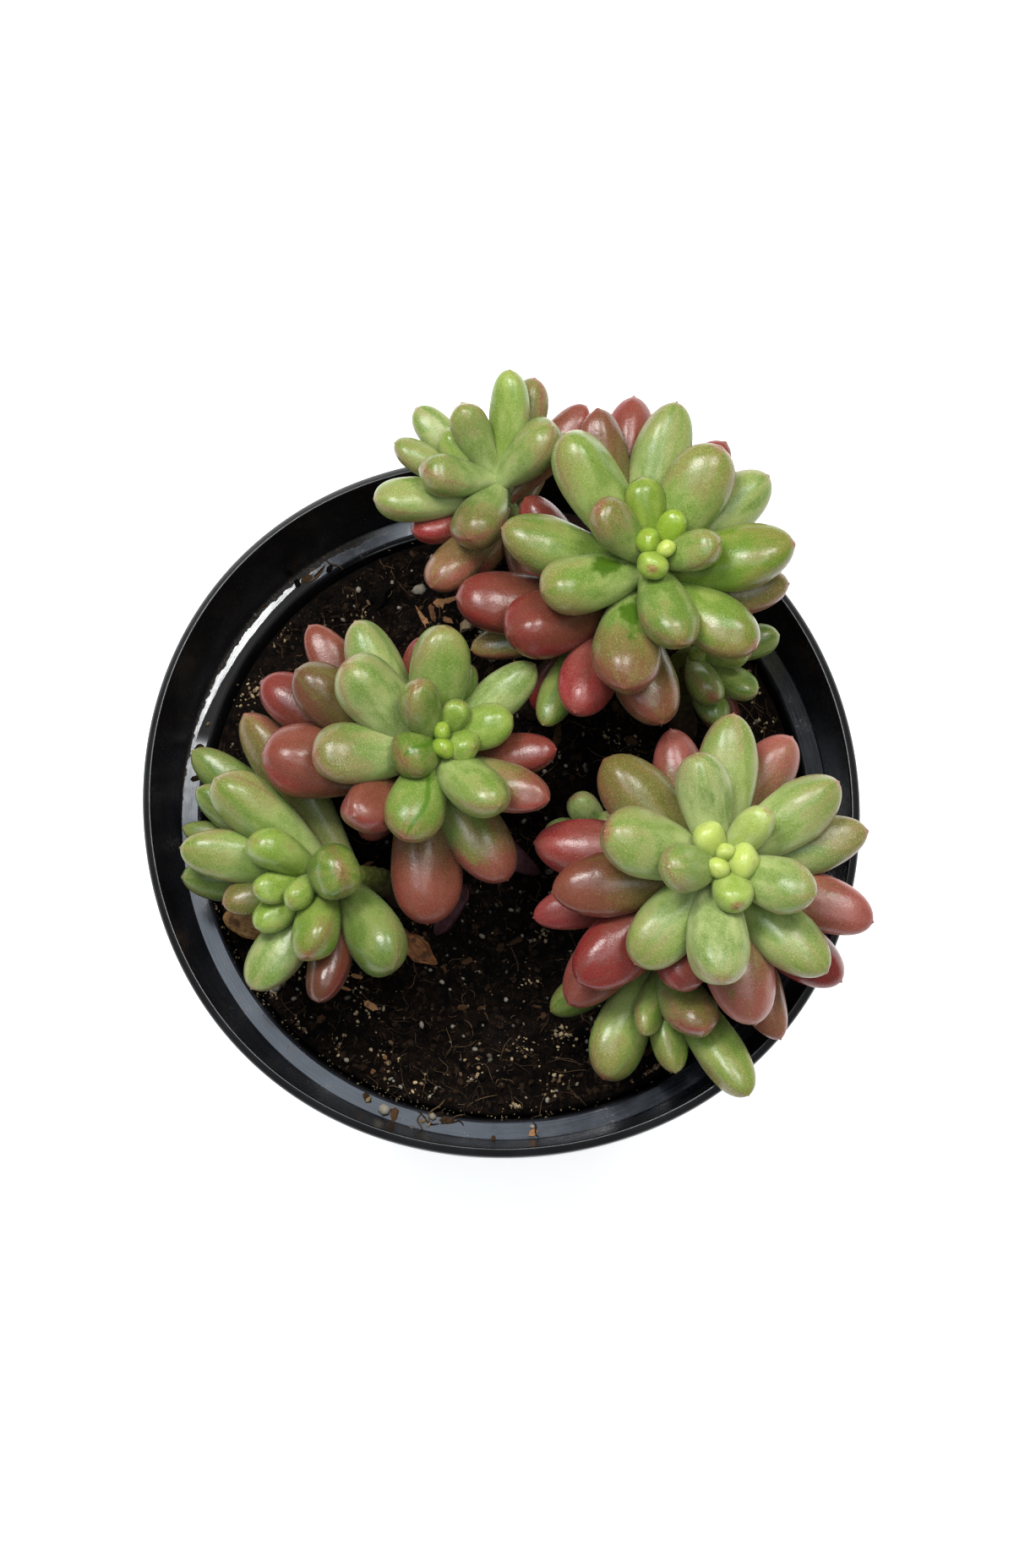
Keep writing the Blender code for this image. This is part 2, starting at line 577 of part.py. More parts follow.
def make_stems(material):
    """The eight leafy stems, each one body."""
    stems = [Stem(rank, *row) for rank, row in enumerate(STEMS)]
    owner, *grown = bend_clear(stems)
    for stem in stems:
        body = stalk_object(stem, material)
        mine = np.flatnonzero(owner == stem.rank)
        parts = [leaf_object(f"leaf_{i}", *(column[i] for column in grown)) for i in mine]
        fuse(body, parts)


def make_litter(materials):
    """Bits that lie loose on the soil: a knobbly chip, a curled dry leaf and two shrivelled ones."""
    for (name, (x, y), length, width, height, degrees), material in zip(LITTER, materials):
        turn = np.arange(8) * pi / 4
        u = np.array([0.08, 0.35, 0.65, 0.92])
        swell = np.sin(pi * u) ** 0.6 * (1 + 0.12 * np.sin(5 * u + length))
        along = (u - 0.5) * length
        rise = 0.5 * height * (1 - 0.25 * np.cos(2 * pi * u))
        ring = np.stack([
            np.broadcast_to(along[:, None], (4, 8)),
            swell[:, None] * np.cos(turn) * width / 2,
            rise[:, None] + swell[:, None] * np.sin(turn) * height / 2], -1).reshape(-1, 3)
        points = np.concatenate([[[-length / 2, 0, rise[0]]], ring, [[length / 2, 0, rise[-1]]]])
        points[:, 2] -= points[:, 2].min() - SOIL_TOP - LITTER_SEAT
        c, s = cos(radians(degrees)), sin(radians(degrees))
        placed = np.column_stack([
            x + points[:, 0] * c - points[:, 1] * s, y + points[:, 0] * s + points[:, 1] * c, points[:, 2]])
        new_object(name, placed, tube_faces(4, 8), material)


def main():
    for thing in list(bpy.data.objects):
        bpy.data.objects.remove(thing)
    make_pot(plain_material("pot plastic", (0.018, 0.018, 0.020), 0.35))
    make_soil(plain_material("peat", (0.020, 0.013, 0.009), 0.95))
    make_stems(plain_material("sedum leaf", (0.24, 0.34, 0.10), 0.45))
    bark = plain_material("bark", (0.25, 0.11, 0.03), 0.9)
    dry = plain_material("dry leaf", (0.20, 0.09, 0.03), 0.85)
    fallen = plain_material("shrivelled leaf", (0.06, 0.015, 0.02), 0.6)
    make_litter((bark, dry, fallen, fallen))


main()
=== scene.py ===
"""The looks of a potted sedum: plump leaves with bloom and blush, a black nursery pot, peat with its grit.

Lengths are millimetres until a mesh is made, where MM turns them into metres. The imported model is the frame:
+Z is up, the origin is the middle of the pot's underside, +X is the photograph's right and +Y its top.
"""
from math import cos, pi, radians, sin, sqrt

import bpy
import numpy as np
from mathutils import Matrix


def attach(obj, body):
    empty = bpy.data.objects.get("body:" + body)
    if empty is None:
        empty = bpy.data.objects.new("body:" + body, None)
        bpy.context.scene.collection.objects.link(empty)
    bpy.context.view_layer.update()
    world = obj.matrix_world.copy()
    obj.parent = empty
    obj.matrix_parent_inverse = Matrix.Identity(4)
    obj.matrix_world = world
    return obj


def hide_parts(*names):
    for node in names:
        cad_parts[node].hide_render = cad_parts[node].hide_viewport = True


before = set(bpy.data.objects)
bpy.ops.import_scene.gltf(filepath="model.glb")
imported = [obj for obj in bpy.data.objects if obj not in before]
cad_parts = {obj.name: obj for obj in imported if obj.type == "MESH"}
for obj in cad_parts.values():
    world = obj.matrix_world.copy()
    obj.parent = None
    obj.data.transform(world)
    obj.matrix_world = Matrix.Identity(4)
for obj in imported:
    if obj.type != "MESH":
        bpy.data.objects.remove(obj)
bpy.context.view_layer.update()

MM = 0.001

# Pot: the CAD's sizes, how finely it is turned, the stretch of ledge with a dull, darker inner half, how far
# the ledge sags beyond it, the lobes by which the pot is out of round (count, height, bearing of a crest), and
# the drains
POT_HEIGHT = 88.0
RIM_RADIUS = 53.5
BASE_RADIUS = 36.5
WALL = 1.15
FLOOR = 1.3
LEDGE_HEIGHT = 73.0
LEDGE_INNER = 46.4
LEDGE_OUTER = 49.0
LIP_DEPTH = 3.2
HUB = 2.0
POT_SIDES = 288
ROUNDING_PASSES = 2
OUTER_CORNERS = 9
GLINT_BEARING = radians(146)
GLINT_HALF = radians(17)
SAG = 0.6
LOBES = ((1, 0.40, 151), (2, 0.60, 145), (3, 0.09, 115), (4, 0.33, 48))
DRAIN_COUNT = 6
DRAIN_RADIUS = 4.0
DRAIN_CIRCLE = 27.0
DRAIN_TURN = radians(22)
DRAIN_SIDES = 40

# Soil: its gap to the pot, its top and the height of its waves, its mesh, and how deep the stalks reach
GAP = 0.35
SOIL_TOP = 72.2
SOIL_RELIEF = 0.7
SOIL_EDGE = 1.2
SOIL_RINGS = 160
SOIL_SIDES = 480
ROOT_DEPTH = 9.0

# Where the photograph was taken from, for places that are read off it
PHOTO_SIZE = (1200, 1855)
POT_PIXEL = (594.0, 950.0)
PIXELS_PER_MM = 7.97
SIGHT_DISTANCE = 750.0
SIGHT_ELEVATION = radians(79.5)
SIGHT_AZIMUTH = radians(10.0)
SENSOR = 36.0

# Stems and leaves: the stalk, how length grows with age and how far down the leaves are rooted, a leaf's
# outline and section, the swollen buds, and the fine detail of the tip
STEM_RADIUS = 2.3
STEM_TAPER = 0.72
STEM_SIDES = 28
STEM_RINGS = 70
ARCH = 0.38
LEAF_MIN = 3.5
LEAF_GAIN = 17.5
LEAF_MIDDLE = 5.2
LEAF_PACE = 1.9
FIRST_ROOT = 0.3
TOP_PACE = 0.75
PACE_GROWTH = 0.012
LEAF_THICKNESS = 0.86
UPPER_SIDE = 0.94
UNDERSIDE = 1.04
LEAF_BOW = 0.12
SIDEWAYS = 0.07
BUD_SWELL = 1.25
BUD_AGE = 3
BUD_WIDTH = 4.4
LEAF_PEAK = 0.69
LEAF_NECK = 0.46
LEAF_SHOULDER = 1.3
LEAF_BLUNT = 2.6
LEAF_PLUMP = 1.07
NUB_START = 0.992
NUB_WIDTHS = (0.04, 0.12)
RIDGES = (0.018, 0.048)
WAIST = 0.018
TWIST = 0.25
CONE = 0.72
TIP_CROWD = 1.15
LEAF_RINGS = 34
LEAF_SIDES = 36

# The oldest leaves, under the ones that the photograph shows
GOLDEN_ANGLE = 137.5
OLD_LENGTH = 13.0
OLD_WIDTH = 6.4
OLD_SPACING = 1.5
OLD_LEAN = 100.0
OLD_SPREAD = 12.0
SEED = 11

# How the leaves are bent clear of each other
BEADS = np.array([0.10, 0.22, 0.34, 0.46, 0.58, 0.70, 0.82, 0.93])
BEND_ROUNDS = 150
BEND_GAP = 0.5
BEND_SNUG = 0.75
BEND_KEEP = 0.05
BEND_SIGHT = 0.75
BEND_LATE = 0.7
BEND_CALM = 0.3
BEND_LAST = 14
BEND_STEP = 0.5
BEND_MOST = 0.12
CROWD = 8.0
STALK_CROWD = 16.0
STALK_KNOTS = 24
PRESSING = 0.45
WALL_LINE = ((49.2, 72.0), (52.5, 87.0))
WALL_HALF = 1.3
LITTER_HEADROOM = 2.4
SHORTEST_ARM = 2.0
UPRIGHT = 0.15
TINY = 1e-9

# Each leaf, in order down its stem: its tip's pixel in the photograph and its width in mm,
# and its length in mm where that isn't the length that its age gives
RIGHT_LEAVES = (
    (860, 1006, 2.2), (848, 1028, 2.6), (886, 1021, 4.0), (838, 978, 4.6), (866, 1062, 5.6),
    (910, 964, 5.3), (814, 1026, 6.6), (958, 1052, 7.6), (825, 901, 7.4), (755, 1146, 8.8),
    (994, 925, 8.3), (716, 984, 9.4), (862, 1140, 8.8), (868, 843, 8.6), (650, 1048, 8.9),
    (984, 1148, 8.1), (716, 896, 9.0), (887, 1216, 9.4), (1028, 982, 8.1), (629, 1005, 8.6),
    (1026, 1113, 8.1), (790, 862, 7.6), (685, 1172, 9.4), (1006, 1152, 8.0), (924, 1231, 7.4),
    (938, 871, 7.8), (630, 1086, 6.6), (795, 1160, 8.0), (672, 1190, 8.4))
UPPER_RIGHT_LEAVES = (
    (784, 642, 2.2), (764, 636, 3.0), (772, 668, 3.6), (811, 605, 4.0), (763, 563, 5.8), (845, 636, 6.0),
    (727, 601, 6.6), (808, 763, 8.0), (641, 700, 8.2), (672, 506, 8.8), (840, 519, 9.2), (941, 636, 9.2),
    (895, 767, 9.2), (589, 628, 8.6), (738, 815, 9.4), (818, 478, 8.3), (912, 563, 8.2), (712, 481, 7.2),
    (935, 690, 7.8), (599, 756, 9.4), (742, 463, 8.2), (778, 863, 9.4), (860, 522, 7.0), (679, 851, 8.2),
    (537, 690, 9.0), (621, 588, 6.6), (556, 768, 5.8), (648, 860, 5.6))
MIDDLE_LEAVES = (
    (523, 866, 2.2), (533, 884, 2.6), (556, 880, 4.0), (545, 828, 4.2), (497, 893, 6.8), (602, 840, 6.2),
    (507, 805, 6.2), (478, 992, 8.3), (608, 953, 7.7), (369, 888, 8.7), (404, 778, 8.9), (533, 738, 8.4),
    (632, 800, 6.4), (644, 941, 7.2), (434, 727, 7.8), (591, 1049, 8.7), (497, 1095, 9.8), (350, 787, 8.2),
    (652, 880, 6.4), (306, 888, 10.2), (348, 753, 7.0), (306, 808, 8.0), (418, 966, 8.0), (485, 762, 6.0),
    (549, 790, 5.5))
LOWER_LEFT_LEAVES = (
    (329, 1070, 4.6, 9), (304, 1048, 3.8, 10), (403, 1031, 8.0, 13), (297, 1094, 5.2, 12),
    (293, 1013, 6.6, 14), (366, 1136, 7.4, 15), (212, 1003, 7.1, 20), (293, 1168, 7.6, 20),
    (245, 924, 8.4), (470, 1146, 8.8), (259, 1055, 5.6, 14), (211, 1046, 6.4), (400, 1165, 6.6),
    (228, 939, 6.0), (216, 964, 5.0), (281, 849, 7.8), (231, 876, 6.4))
UPPER_LEFT_LEAVES = (
    (543, 479, 5.2, 13), (491, 567, 6.8, 13), (519, 513, 3.8, 10), (651, 494, 7.4, 14),
    (580, 624, 7.6, 14), (611, 441, 6.0, 18), (446, 598, 7.0, 19), (475, 505, 5.0, 15),
    (491, 481, 5.4, 17), (533, 481, 3.4, 14), (636, 447, 5.6, 18), (692, 477, 6.0, 18),
    (499, 688, 6.6, 18), (519, 640, 5.4, 15))
LOWER_RIGHT_LEAVES = (
    (792, 1152, 2.4), (771, 1234, 4.6, 13), (802, 1267, 5.4, 17), (848, 1237, 7.4, 17),
    (706, 1269, 8.2, 20), (880, 1297, 6.8, 26), (649, 1195, 5.6, 17))
RIGHT_OFFSET_LEAVES = (
    (840, 790, 2.4), (859, 823, 5.6, 11), (879, 791, 5.4, 11), (884, 815, 4.6, 12), (860, 842, 4.8, 12),
    (923, 751, 5.0, 13))
SMALL_OFFSET_LEAVES = ((710, 962, 3.2, 6), (677, 951, 4.6, 9), (650, 978, 5.2, 10))

# How pointed each leaf's tip is, in the order of the readings: from 0, round, to 9, a cone
LEAF_POINTS = {
    "stem_upper_right": "2223122411364624424134241244",
    "stem_right": "33422525436336655465263353535",
    "stem_middle": "2232241331124533214141333",
    "stem_upper_left": "11222211121412",
    "stem_lower_left": "33232143123333332",
    "stem_lower_right": "3554244",
    "stem_right_offset": "322222",
    "stem_small_offset": "344"}
POINT_STEP = 0.065
POINT_SPREAD = 0.04
OLD_POINT = 3

# Each stem: name, foot in the soil (x, y), growing tip's pixel and height, lean (bearing, tilt) in degrees,
# distance between leaves, leaves, and how many of the oldest leaves hide below them;
# the list runs from the stem that lies over the others to the lowest
STEMS = (
    ("stem_upper_right", (4, 18), (778, 650), 117, (50, 14), 0.68, UPPER_RIGHT_LEAVES, 5),
    ("stem_right", (25, -9), (857, 1018), 110, (0, 8), 0.54, RIGHT_LEAVES, 4),
    ("stem_middle", (-14, 2), (528, 874), 108, (20, 28), 0.62, MIDDLE_LEAVES, 4),
    ("stem_upper_left", (5, 31), (583, 563), 104, (120, 36), 0.50, UPPER_LEFT_LEAVES, 4),
    ("stem_lower_left", (-16, -11), (364, 1040), 96, (200, 45), 0.62, LOWER_LEFT_LEAVES, 1),
    ("stem_lower_right", (19, -20), (788, 1143), 89, (300, 50), 0.62, LOWER_RIGHT_LEAVES, 0),
    ("stem_right_offset", (27, 14), (826, 778), 93, (-30, 45), 0.50, RIGHT_OFFSET_LEAVES, 1),
    ("stem_small_offset", (13, -3), (714, 986), 87, (165, 35), 0.50, SMALL_OFFSET_LEAVES, 0))

# Grit and crumbs on the peat: name, how many, size in mm (smallest and largest), flatness, share below the
# surface, how far each is pushed out of round, and seed; the roughest are faceted
GRAINS = (
    ("perlite_beads", 430, (0.45, 1.15), 0.85, 0.30, 0.12, 21),
    ("sand_grains", 900, (0.16, 0.50), 0.80, 0.30, 0.38, 22),
    ("peat_crumbs", 3600, (0.35, 1.3), 0.75, 0.45, 0.38, 23),
    ("bark_flakes", 160, (0.7, 2.1), 0.30, 0.35, 0.38, 24),
    ("tan_crumbs", 60, (0.18, 0.50), 0.80, 0.25, 0.38, 25),
    ("dry_scraps", 12, (0.8, 1.8), 0.22, 0.10, 0.38, 26))
SMOOTHEST = 0.2
GRAIN_RINGS = 3
GRAIN_SIDES = 6
GRAIN_CAP = 0.85
GRAIN_END = 0.9
SOIL_REACH = 44.4
BIT_LIFT = 0.5
STEP_LIFT = 0.3

# The sand that lines the ledge's inner edge: one grain in so many, about a bearing
LINED_SHARE = 5
LINED_BEARING = radians(232)
LINED_SPREAD = radians(38)
LINED_INSET = 1.0
LINED_SCATTER = 0.35

# Fibres on the peat: how many, their mesh, the shortest's length and how many times that the longest has,
# thickness, that of the strands on the pot's step, and how far they sway in one wave and in two
FIBRE_COUNT = 1300
FIBRE_KNOTS = 7
FIBRE_SIDES = 4
FIBRE_SHORTEST = 0.9
FIBRE_RANGE = 7.0
FIBRE_THICKNESS = (0.025, 0.075)
STRAND_THICKNESS = 0.13
FIBRE_SWAY = 0.26
FIBRE_SNAKE = 0.10

# Finish of each kind of grain, in the order of GRAINS, and of the fibres: name, dark and light colour,
# size of its own grain in mm, roughness, depth of its relief in mm and shine
GRAIN_LOOKS = (
    ("perlite", (0.045, 0.037, 0.027), (0.230, 0.205, 0.160), 0.5, 0.75, 0.03, 0.30),
    ("sand", (0.030, 0.019, 0.010), (0.200, 0.150, 0.080), 0.4, 0.80, 0.04, 0.30),
    ("peat crumb", (0.0012, 0.0008, 0.0006), (0.022, 0.012, 0.007), 0.4, 0.90, 0.15, 0.10),
    ("bark flake", (0.005, 0.0025, 0.0012), (0.055, 0.027, 0.012), 0.5, 0.85, 0.10, 0.15),
    ("tan crumb", (0.070, 0.036, 0.015), (0.380, 0.285, 0.165), 0.3, 0.80, 0.05, 0.30),
    ("dry scrap", (0.090, 0.035, 0.012), (0.340, 0.165, 0.070), 0.4, 0.70, 0.15, 0.30))
FIBRE_LOOK = ("root fibre", (0.008, 0.004, 0.002), (0.110, 0.066, 0.034), 0.6, 0.80, 0.03, 0.15)

# Where tan crumbs lie in clusters: middle's pixel in the photograph, spread in mm, how many
TAN_CLUSTERS = (
    (432, 1192, 1.3, 34), (366, 1150, 1.1, 24), (322, 1172, 0.9, 16), (410, 1160, 1.0, 14),
    (455, 1250, 1.2, 22), (642, 1103, 1.0, 22), (625, 1161, 0.7, 14), (667, 1228, 1.2, 30),
    (612, 1237, 1.2, 24), (654, 1283, 1.4, 20), (784, 1291, 1.6, 30), (608, 1320, 1.0, 16),
    (924, 786, 0.9, 18), (744, 880, 1.1, 24), (725, 872, 0.9, 18), (900, 850, 1.0, 14),
    (304, 812, 1.0, 18), (426, 717, 0.9, 14), (350, 1215, 0.9, 14), (500, 1290, 1.3, 16),
    (395, 1235, 1.0, 12), (560, 1262, 1.0, 14), (330, 745, 1.0, 14), (290, 830, 0.8, 12))

# Larger bits on the peat, by kind: the pixel in the photograph and the size in mm of each
SOIL_BITS = {
    "dry_scraps": (
        (520, 713, 1.7), (505, 737, 1.6), (535, 709, 1.5), (526, 731, 1.5), (512, 724, 1.8),
        (498, 727, 1.3), (455, 1250, 1.3), (410, 1170, 1.2), (437, 1188, 1.6), (421, 1155, 1.4),
        (437, 1272, 1.4)),
    "tan_crumbs": ((555, 738, 3.4),),
    "bark_flakes": ((660, 870, 3.0), (792, 1262, 3.6)),
    "peat_crumbs": ((443, 692, 5.0),),
    "perlite_beads": (
        (496, 697, 2.2), (333, 1160, 2.0), (316, 1176, 1.7), (345, 1150, 1.3), (650, 1030, 1.4))}

# What lies on the pot's step: bits in the same form, and strands by their middle's pixel, bearing and length
STEP_BITS = {
    "perlite_beads": (
        (455, 1313, 2.0), (487, 1334, 0.8), (512, 1321, 1.2), (630, 1333, 0.8), (302, 728, 0.9)),
    "bark_flakes": (
        (466, 1318, 1.6), (530, 1326, 1.4), (520, 1318, 1.3), (583, 1347, 1.0), (433, 1298, 1.5),
        (311, 716, 1.1), (323, 695, 0.9), (362, 684, 1.4), (378, 677, 1.3), (231, 920, 1.2)),
    "sand_grains": ((500, 1326, 0.9), (508, 1330, 0.8), (436, 1300, 1.0), (246, 856, 0.8)),
    "dry_scraps": ((498, 1342, 1.2), (632, 1338, 1.4)),
    "peat_crumbs": ((390, 672, 1.3), (352, 690, 1.1), (236, 884, 1.1))}
STEP_STRANDS = ((518, 1316, 62, 4.4), (507, 1322, 150, 3.6), (536, 1324, 20, 4.0), (499, 1328, 95, 2.6),
                (540, 1330, 170, 2.2), (372, 680, 35, 3.4), (396, 668, 150, 3.0), (634, 1336, 110, 2.4))

# Crumbs in the peat's relief: size, height and the seed of each, and the side of the table of noise
SOIL_CRUMBS = ((5.5, 0.9, 1), (2.6, 0.8, 2), (1.2, 0.55, 3), (0.6, 0.3, 4))
LATTICE = 64

# Studio: the room's light, the floor's own glow, and each lamp: name, place and size in metres, power, colour
ROOM_LIGHT = 0.22
FLOOR_GLOW = 0.68
LIGHTS = (
    ("overhead scrim", (-0.281, 0.05, 1.20), (0.538, 0.70), 3.9, (0.74, 0.86, 1.0)),
    ("right fill", (0.36, -0.20, 1.20), (0.50, 0.50), 2.6, (0.90, 0.96, 1.0)),
    ("left softbox", (-0.249, 0.338, 0.99), (0.30, 0.28), 8.4, (1.0, 0.985, 0.955)),
    ("right softbox", (0.325, 0.345, 0.99), (0.31, 0.29), 6.0, (1.0, 0.985, 0.955)))

# How a leaf is coloured: blush at its base and at its tip, redness of the blush, darkness (painted shade on
# leaves that lie in shadow, and the deeper tone of some old leaves), youth, red dot at the tip and bloom; then
# the tone of each leaf, in the order of the readings, and of the oldest leaves
TONES = {
    "y": (0.00, 0.00, 1.0, 0.0, 1.00, 0.1, 0.45),
    "j": (0.00, 0.00, 0.1, 0.0, 1.00, 0.2, 0.10),
    "q": (0.00, 0.00, 0.4, 0.0, 0.80, 0.9, 0.30),
    "v": (0.00, 0.09, 0.2, 0.0, 0.50, 0.3, 0.35),
    "z": (0.00, 0.12, 1.0, 0.0, 0.60, 0.6, 0.75),
    "l": (0.02, 0.28, 0.3, 0.1, 0.22, 0.8, 0.12),
    "i": (0.02, 0.20, 0.3, 0.2, 0.10, 0.6, 0.10),
    "g": (0.03, 0.27, 0.3, 0.0, 0.20, 0.3, 0.60),
    "p": (0.03, 0.30, 0.5, 0.0, 0.20, 1.0, 0.60),
    "a": (0.06, 0.46, 0.4, 0.0, 0.05, 0.7, 0.95),
    "s": (0.04, 0.20, 0.5, 0.0, 0.05, 0.6, 1.05),
    "e": (0.05, 0.15, 0.4, 0.5, 0.10, 0.3, 0.40),
    "x": (0.10, 0.45, 0.5, 0.4, 0.10, 1.0, 0.45),
    "t": (0.05, 0.44, 0.4, 0.0, 0.10, 0.7, 0.60),
    "2": (0.02, 0.30, 0.2, 0.1, 0.10, 0.6, 0.45),
    "4": (0.02, 0.60, 0.9, 0.0, 0.05, 0.9, 0.70),
    "5": (0.06, 0.52, 0.6, 0.2, 0.00, 0.7, 0.35),
    "6": (0.00, 0.04, 0.3, 0.3, 0.55, 0.4, 0.05),
    "7": (0.02, 0.32, 0.5, 0.0, 0.15, 1.0, 0.30),
    "1": (0.05, 0.80, 0.5, 0.1, 0.05, 0.6, 0.50),
    "8": (0.56, 0.98, 0.7, 0.1, 0.00, 0.3, -0.35),
    "9": (0.35, 0.58, 0.2, 0.0, 0.00, 0.5, -0.15),
    "w": (0.05, 0.92, 0.8, 0.0, 0.05, 0.6, 0.55),
    "u": (0.25, 0.85, 0.5, 0.3, 0.00, 0.3, 0.55),
    "o": (0.35, 0.62, 0.2, 0.0, 0.00, 0.5, 0.50),
    "c": (0.52, 0.86, 0.6, 0.0, 0.00, 0.4, 0.85),
    "b": (0.50, 0.84, 0.5, 0.0, 0.00, 0.3, 0.45),
    "k": (0.50, 0.76, 0.4, 0.7, 0.00, 0.2, 0.15),
    "m": (0.62, 1.06, 0.7, 0.1, 0.00, 0.3, 0.35),
    "n": (0.54, 1.06, 0.8, 0.0, 0.00, 0.3, 0.55),
    "f": (0.80, 1.20, 1.0, 0.0, 0.00, 0.3, 0.75),
    "r": (0.74, 1.22, 1.0, 0.0, 0.00, 0.2, 0.25),
    "d": (0.74, 1.18, 0.8, 0.4, 0.00, 0.2, 0.20),
    "0": (0.86, 1.00, 0.8, 1.0, 0.00, 0.2, -0.20),
    "h": (0.90, 1.22, 1.0, 0.3, 0.00, 0.1, -0.40)}
LEAF_TONES = {
    "stem_right": "yyyyqzggspppsp8g9carnnhhbcrdm",
    "stem_upper_right": "yjqj6gt2ggpl721ssuodnbmfddoe",
    "stem_middle": "jjvviv27gasgswswmkdmmdmde",
    "stem_upper_left": "g2vg5vggsvtmbr",
    "stem_lower_left": "vvivvlgsgexe0eeoe",
    "stem_lower_right": "ggg4pge",
    "stem_right_offset": "vpgeee",
    "stem_small_offset": "sss"}
OLD_TONES = "mbmdr"

# How much more bloom the leaves of some stems have
BLOOMS = {"stem_right": 0.40, "stem_lower_right": -0.10, "stem_small_offset": 0.30, "stem_upper_right": -0.15,
          "stem_upper_left": 0.25}

# Leaves with a scar along them and leaves with a rubbed patch: stem, leaf
SCARRED = (("stem_middle", 4), ("stem_middle", 7))
RUBBED = (("stem_upper_right", 8), ("stem_upper_right", 14))

# What lies on the soil: name, slot, middle (x, y), length, width, height, bearing in degrees, and how deep
# its folds and its dents are as shares of its width
LITTER = (
    ("bark_chip", "bark", (-38.5, -15.6), 8.6, 6.2, 4.2, -15, (0.05, 0.22)),
    ("dry_leaf", "dry_leaf", (-14.2, -18.8), 10.0, 4.6, 1.8, -38, (0.24, 0.40)),
    ("fallen_leaf_left", "fallen_leaf", (-8.2, -13.6), 9.0, 4.2, 2.2, 60, (0.14, 0.12)),
    ("fallen_leaf_right", "fallen_leaf", (0.8, -5.6), 10.5, 4.4, 2.4, 150, (0.14, 0.12)))
LITTER_CLEAR = 2.5
LITTER_SEAT = 0.3
LITTER_RINGS = 40
LITTER_SIDES = 36

# Finish of the litter in each slot: name, dark and light colour, spots, roughness and shine
LITTER_LOOKS = {
    "bark": ("bark", (0.300, 0.120, 0.030), (0.600, 0.340, 0.125), (0.130, 0.055, 0.020), 0.45, 0.45),
    "dry_leaf": ("dry leaf", (0.120, 0.040, 0.012), (0.270, 0.115, 0.040), (0.050, 0.022, 0.010), 0.65, 0.3),
    "fallen_leaf": (
        "shrivelled leaf", (0.030, 0.006, 0.010), (0.085, 0.020, 0.030), (0.012, 0.005, 0.006), 0.45, 0.4)}

# Colours of the leaves
GREEN_DEEP = (0.082, 0.155, 0.014)
GREEN_PLAIN = (0.165, 0.225, 0.040)
GREEN_YOUNG = (0.205, 0.310, 0.024)
YELLOW_YOUNG = (0.430, 0.520, 0.085)
POWDER_GREEN = (0.390, 0.450, 0.190)
POWDER_RED = (0.310, 0.092, 0.075)
POWDER_PALE = (0.460, 0.500, 0.220)
POWDER_PINK = (0.420, 0.165, 0.125)
BROWN = (0.160, 0.074, 0.028)
RED_BROWN = (0.165, 0.040, 0.027)
RED = (0.225, 0.015, 0.018)
TIP_RED = (0.260, 0.060, 0.045)
MARGIN = (0.220, 0.085, 0.055)
PORE = (0.40, 0.46, 0.36)
SCAR = (0.060, 0.150, 0.006)
BRUISE = (0.045, 0.105, 0.004)
SHADE = (0.018, 0.018, 0.007)

# Colours of the stalks
STALK_LOW = (0.055, 0.030, 0.016)
STALK_HIGH = (0.13, 0.17, 0.022)
STALK_SCALE = (0.16, 0.13, 0.065)

# Colours of the pot
PLASTIC = (0.0045, 0.0045, 0.0050)
PLASTIC_HAZE = (0.0085, 0.0085, 0.0095)
LEDGE_SCRATCH = (0.028, 0.031, 0.040)
DULL_BAND_BLACK = (0.002, 0.0015, 0.001)
FRINGE_DARK = (0.006, 0.004, 0.003)
FRINGE_TAN = (0.060, 0.040, 0.026)
DUST = (0.10, 0.075, 0.055)

# Colours of the peat
PEAT_BLACK = (0.0012, 0.0007, 0.0005)
PEAT_BROWN = (0.0095, 0.0050, 0.0028)
PEAT_FLECK = (0.075, 0.047, 0.026)
PEAT_STRAND = (0.040, 0.022, 0.011)
PEAT_HOLLOW_SHADE = (0.0006, 0.0004, 0.0003)


def unit(vectors):
    """Vectors of length one."""
    vectors = np.asarray(vectors, float)
    return vectors / np.linalg.norm(vectors, axis=-1, keepdims=True)


def view_axes():
    """The photograph's right, its top and the way back to the camera, as unit vectors."""
    flat = cos(SIGHT_ELEVATION)
    toward = np.array([sin(SIGHT_AZIMUTH) * flat, -cos(SIGHT_AZIMUTH) * flat, sin(SIGHT_ELEVATION)])
    up = np.array([0.0, 1.0, 0.0])
    up = unit(up - toward * (up @ toward))
    return np.cross(up, toward), up, toward


RIGHT, UP, TOWARD = view_axes()
RIM_CENTRE = np.array([0.0, 0.0, POT_HEIGHT])
EYE = RIM_CENTRE + SIGHT_DISTANCE * TOWARD


def sight_line(pixel):
    """Unit vector from the camera through a pixel of the photograph."""
    across = (pixel[0] - POT_PIXEL[0]) / PIXELS_PER_MM
    above = (POT_PIXEL[1] - pixel[1]) / PIXELS_PER_MM
    return unit(RIM_CENTRE + across * RIGHT + above * UP - EYE)


def seen_at(pixel, height):
    """The point at a height that the photograph shows at a pixel."""
    ray = sight_line(pixel)
    return EYE + ray * (height - EYE[2]) / ray[2]


def bearing(degrees, tilt):
    """Unit vector leaning by tilt degrees from upright, towards a bearing counted from +X."""
    turn, lean = radians(degrees), radians(tilt)
    return np.array([cos(turn) * sin(lean), sin(turn) * sin(lean), cos(lean)])


def oval(angles, heights):
    """How far the thin pot is out of round: lobes, each with a count, a height and a crest's bearing."""
    lobes = sum(size * np.cos(count * (angles - radians(crest))) for count, size, crest in LOBES)
    return lobes * np.clip(heights / POT_HEIGHT, 0, 1) ** 2


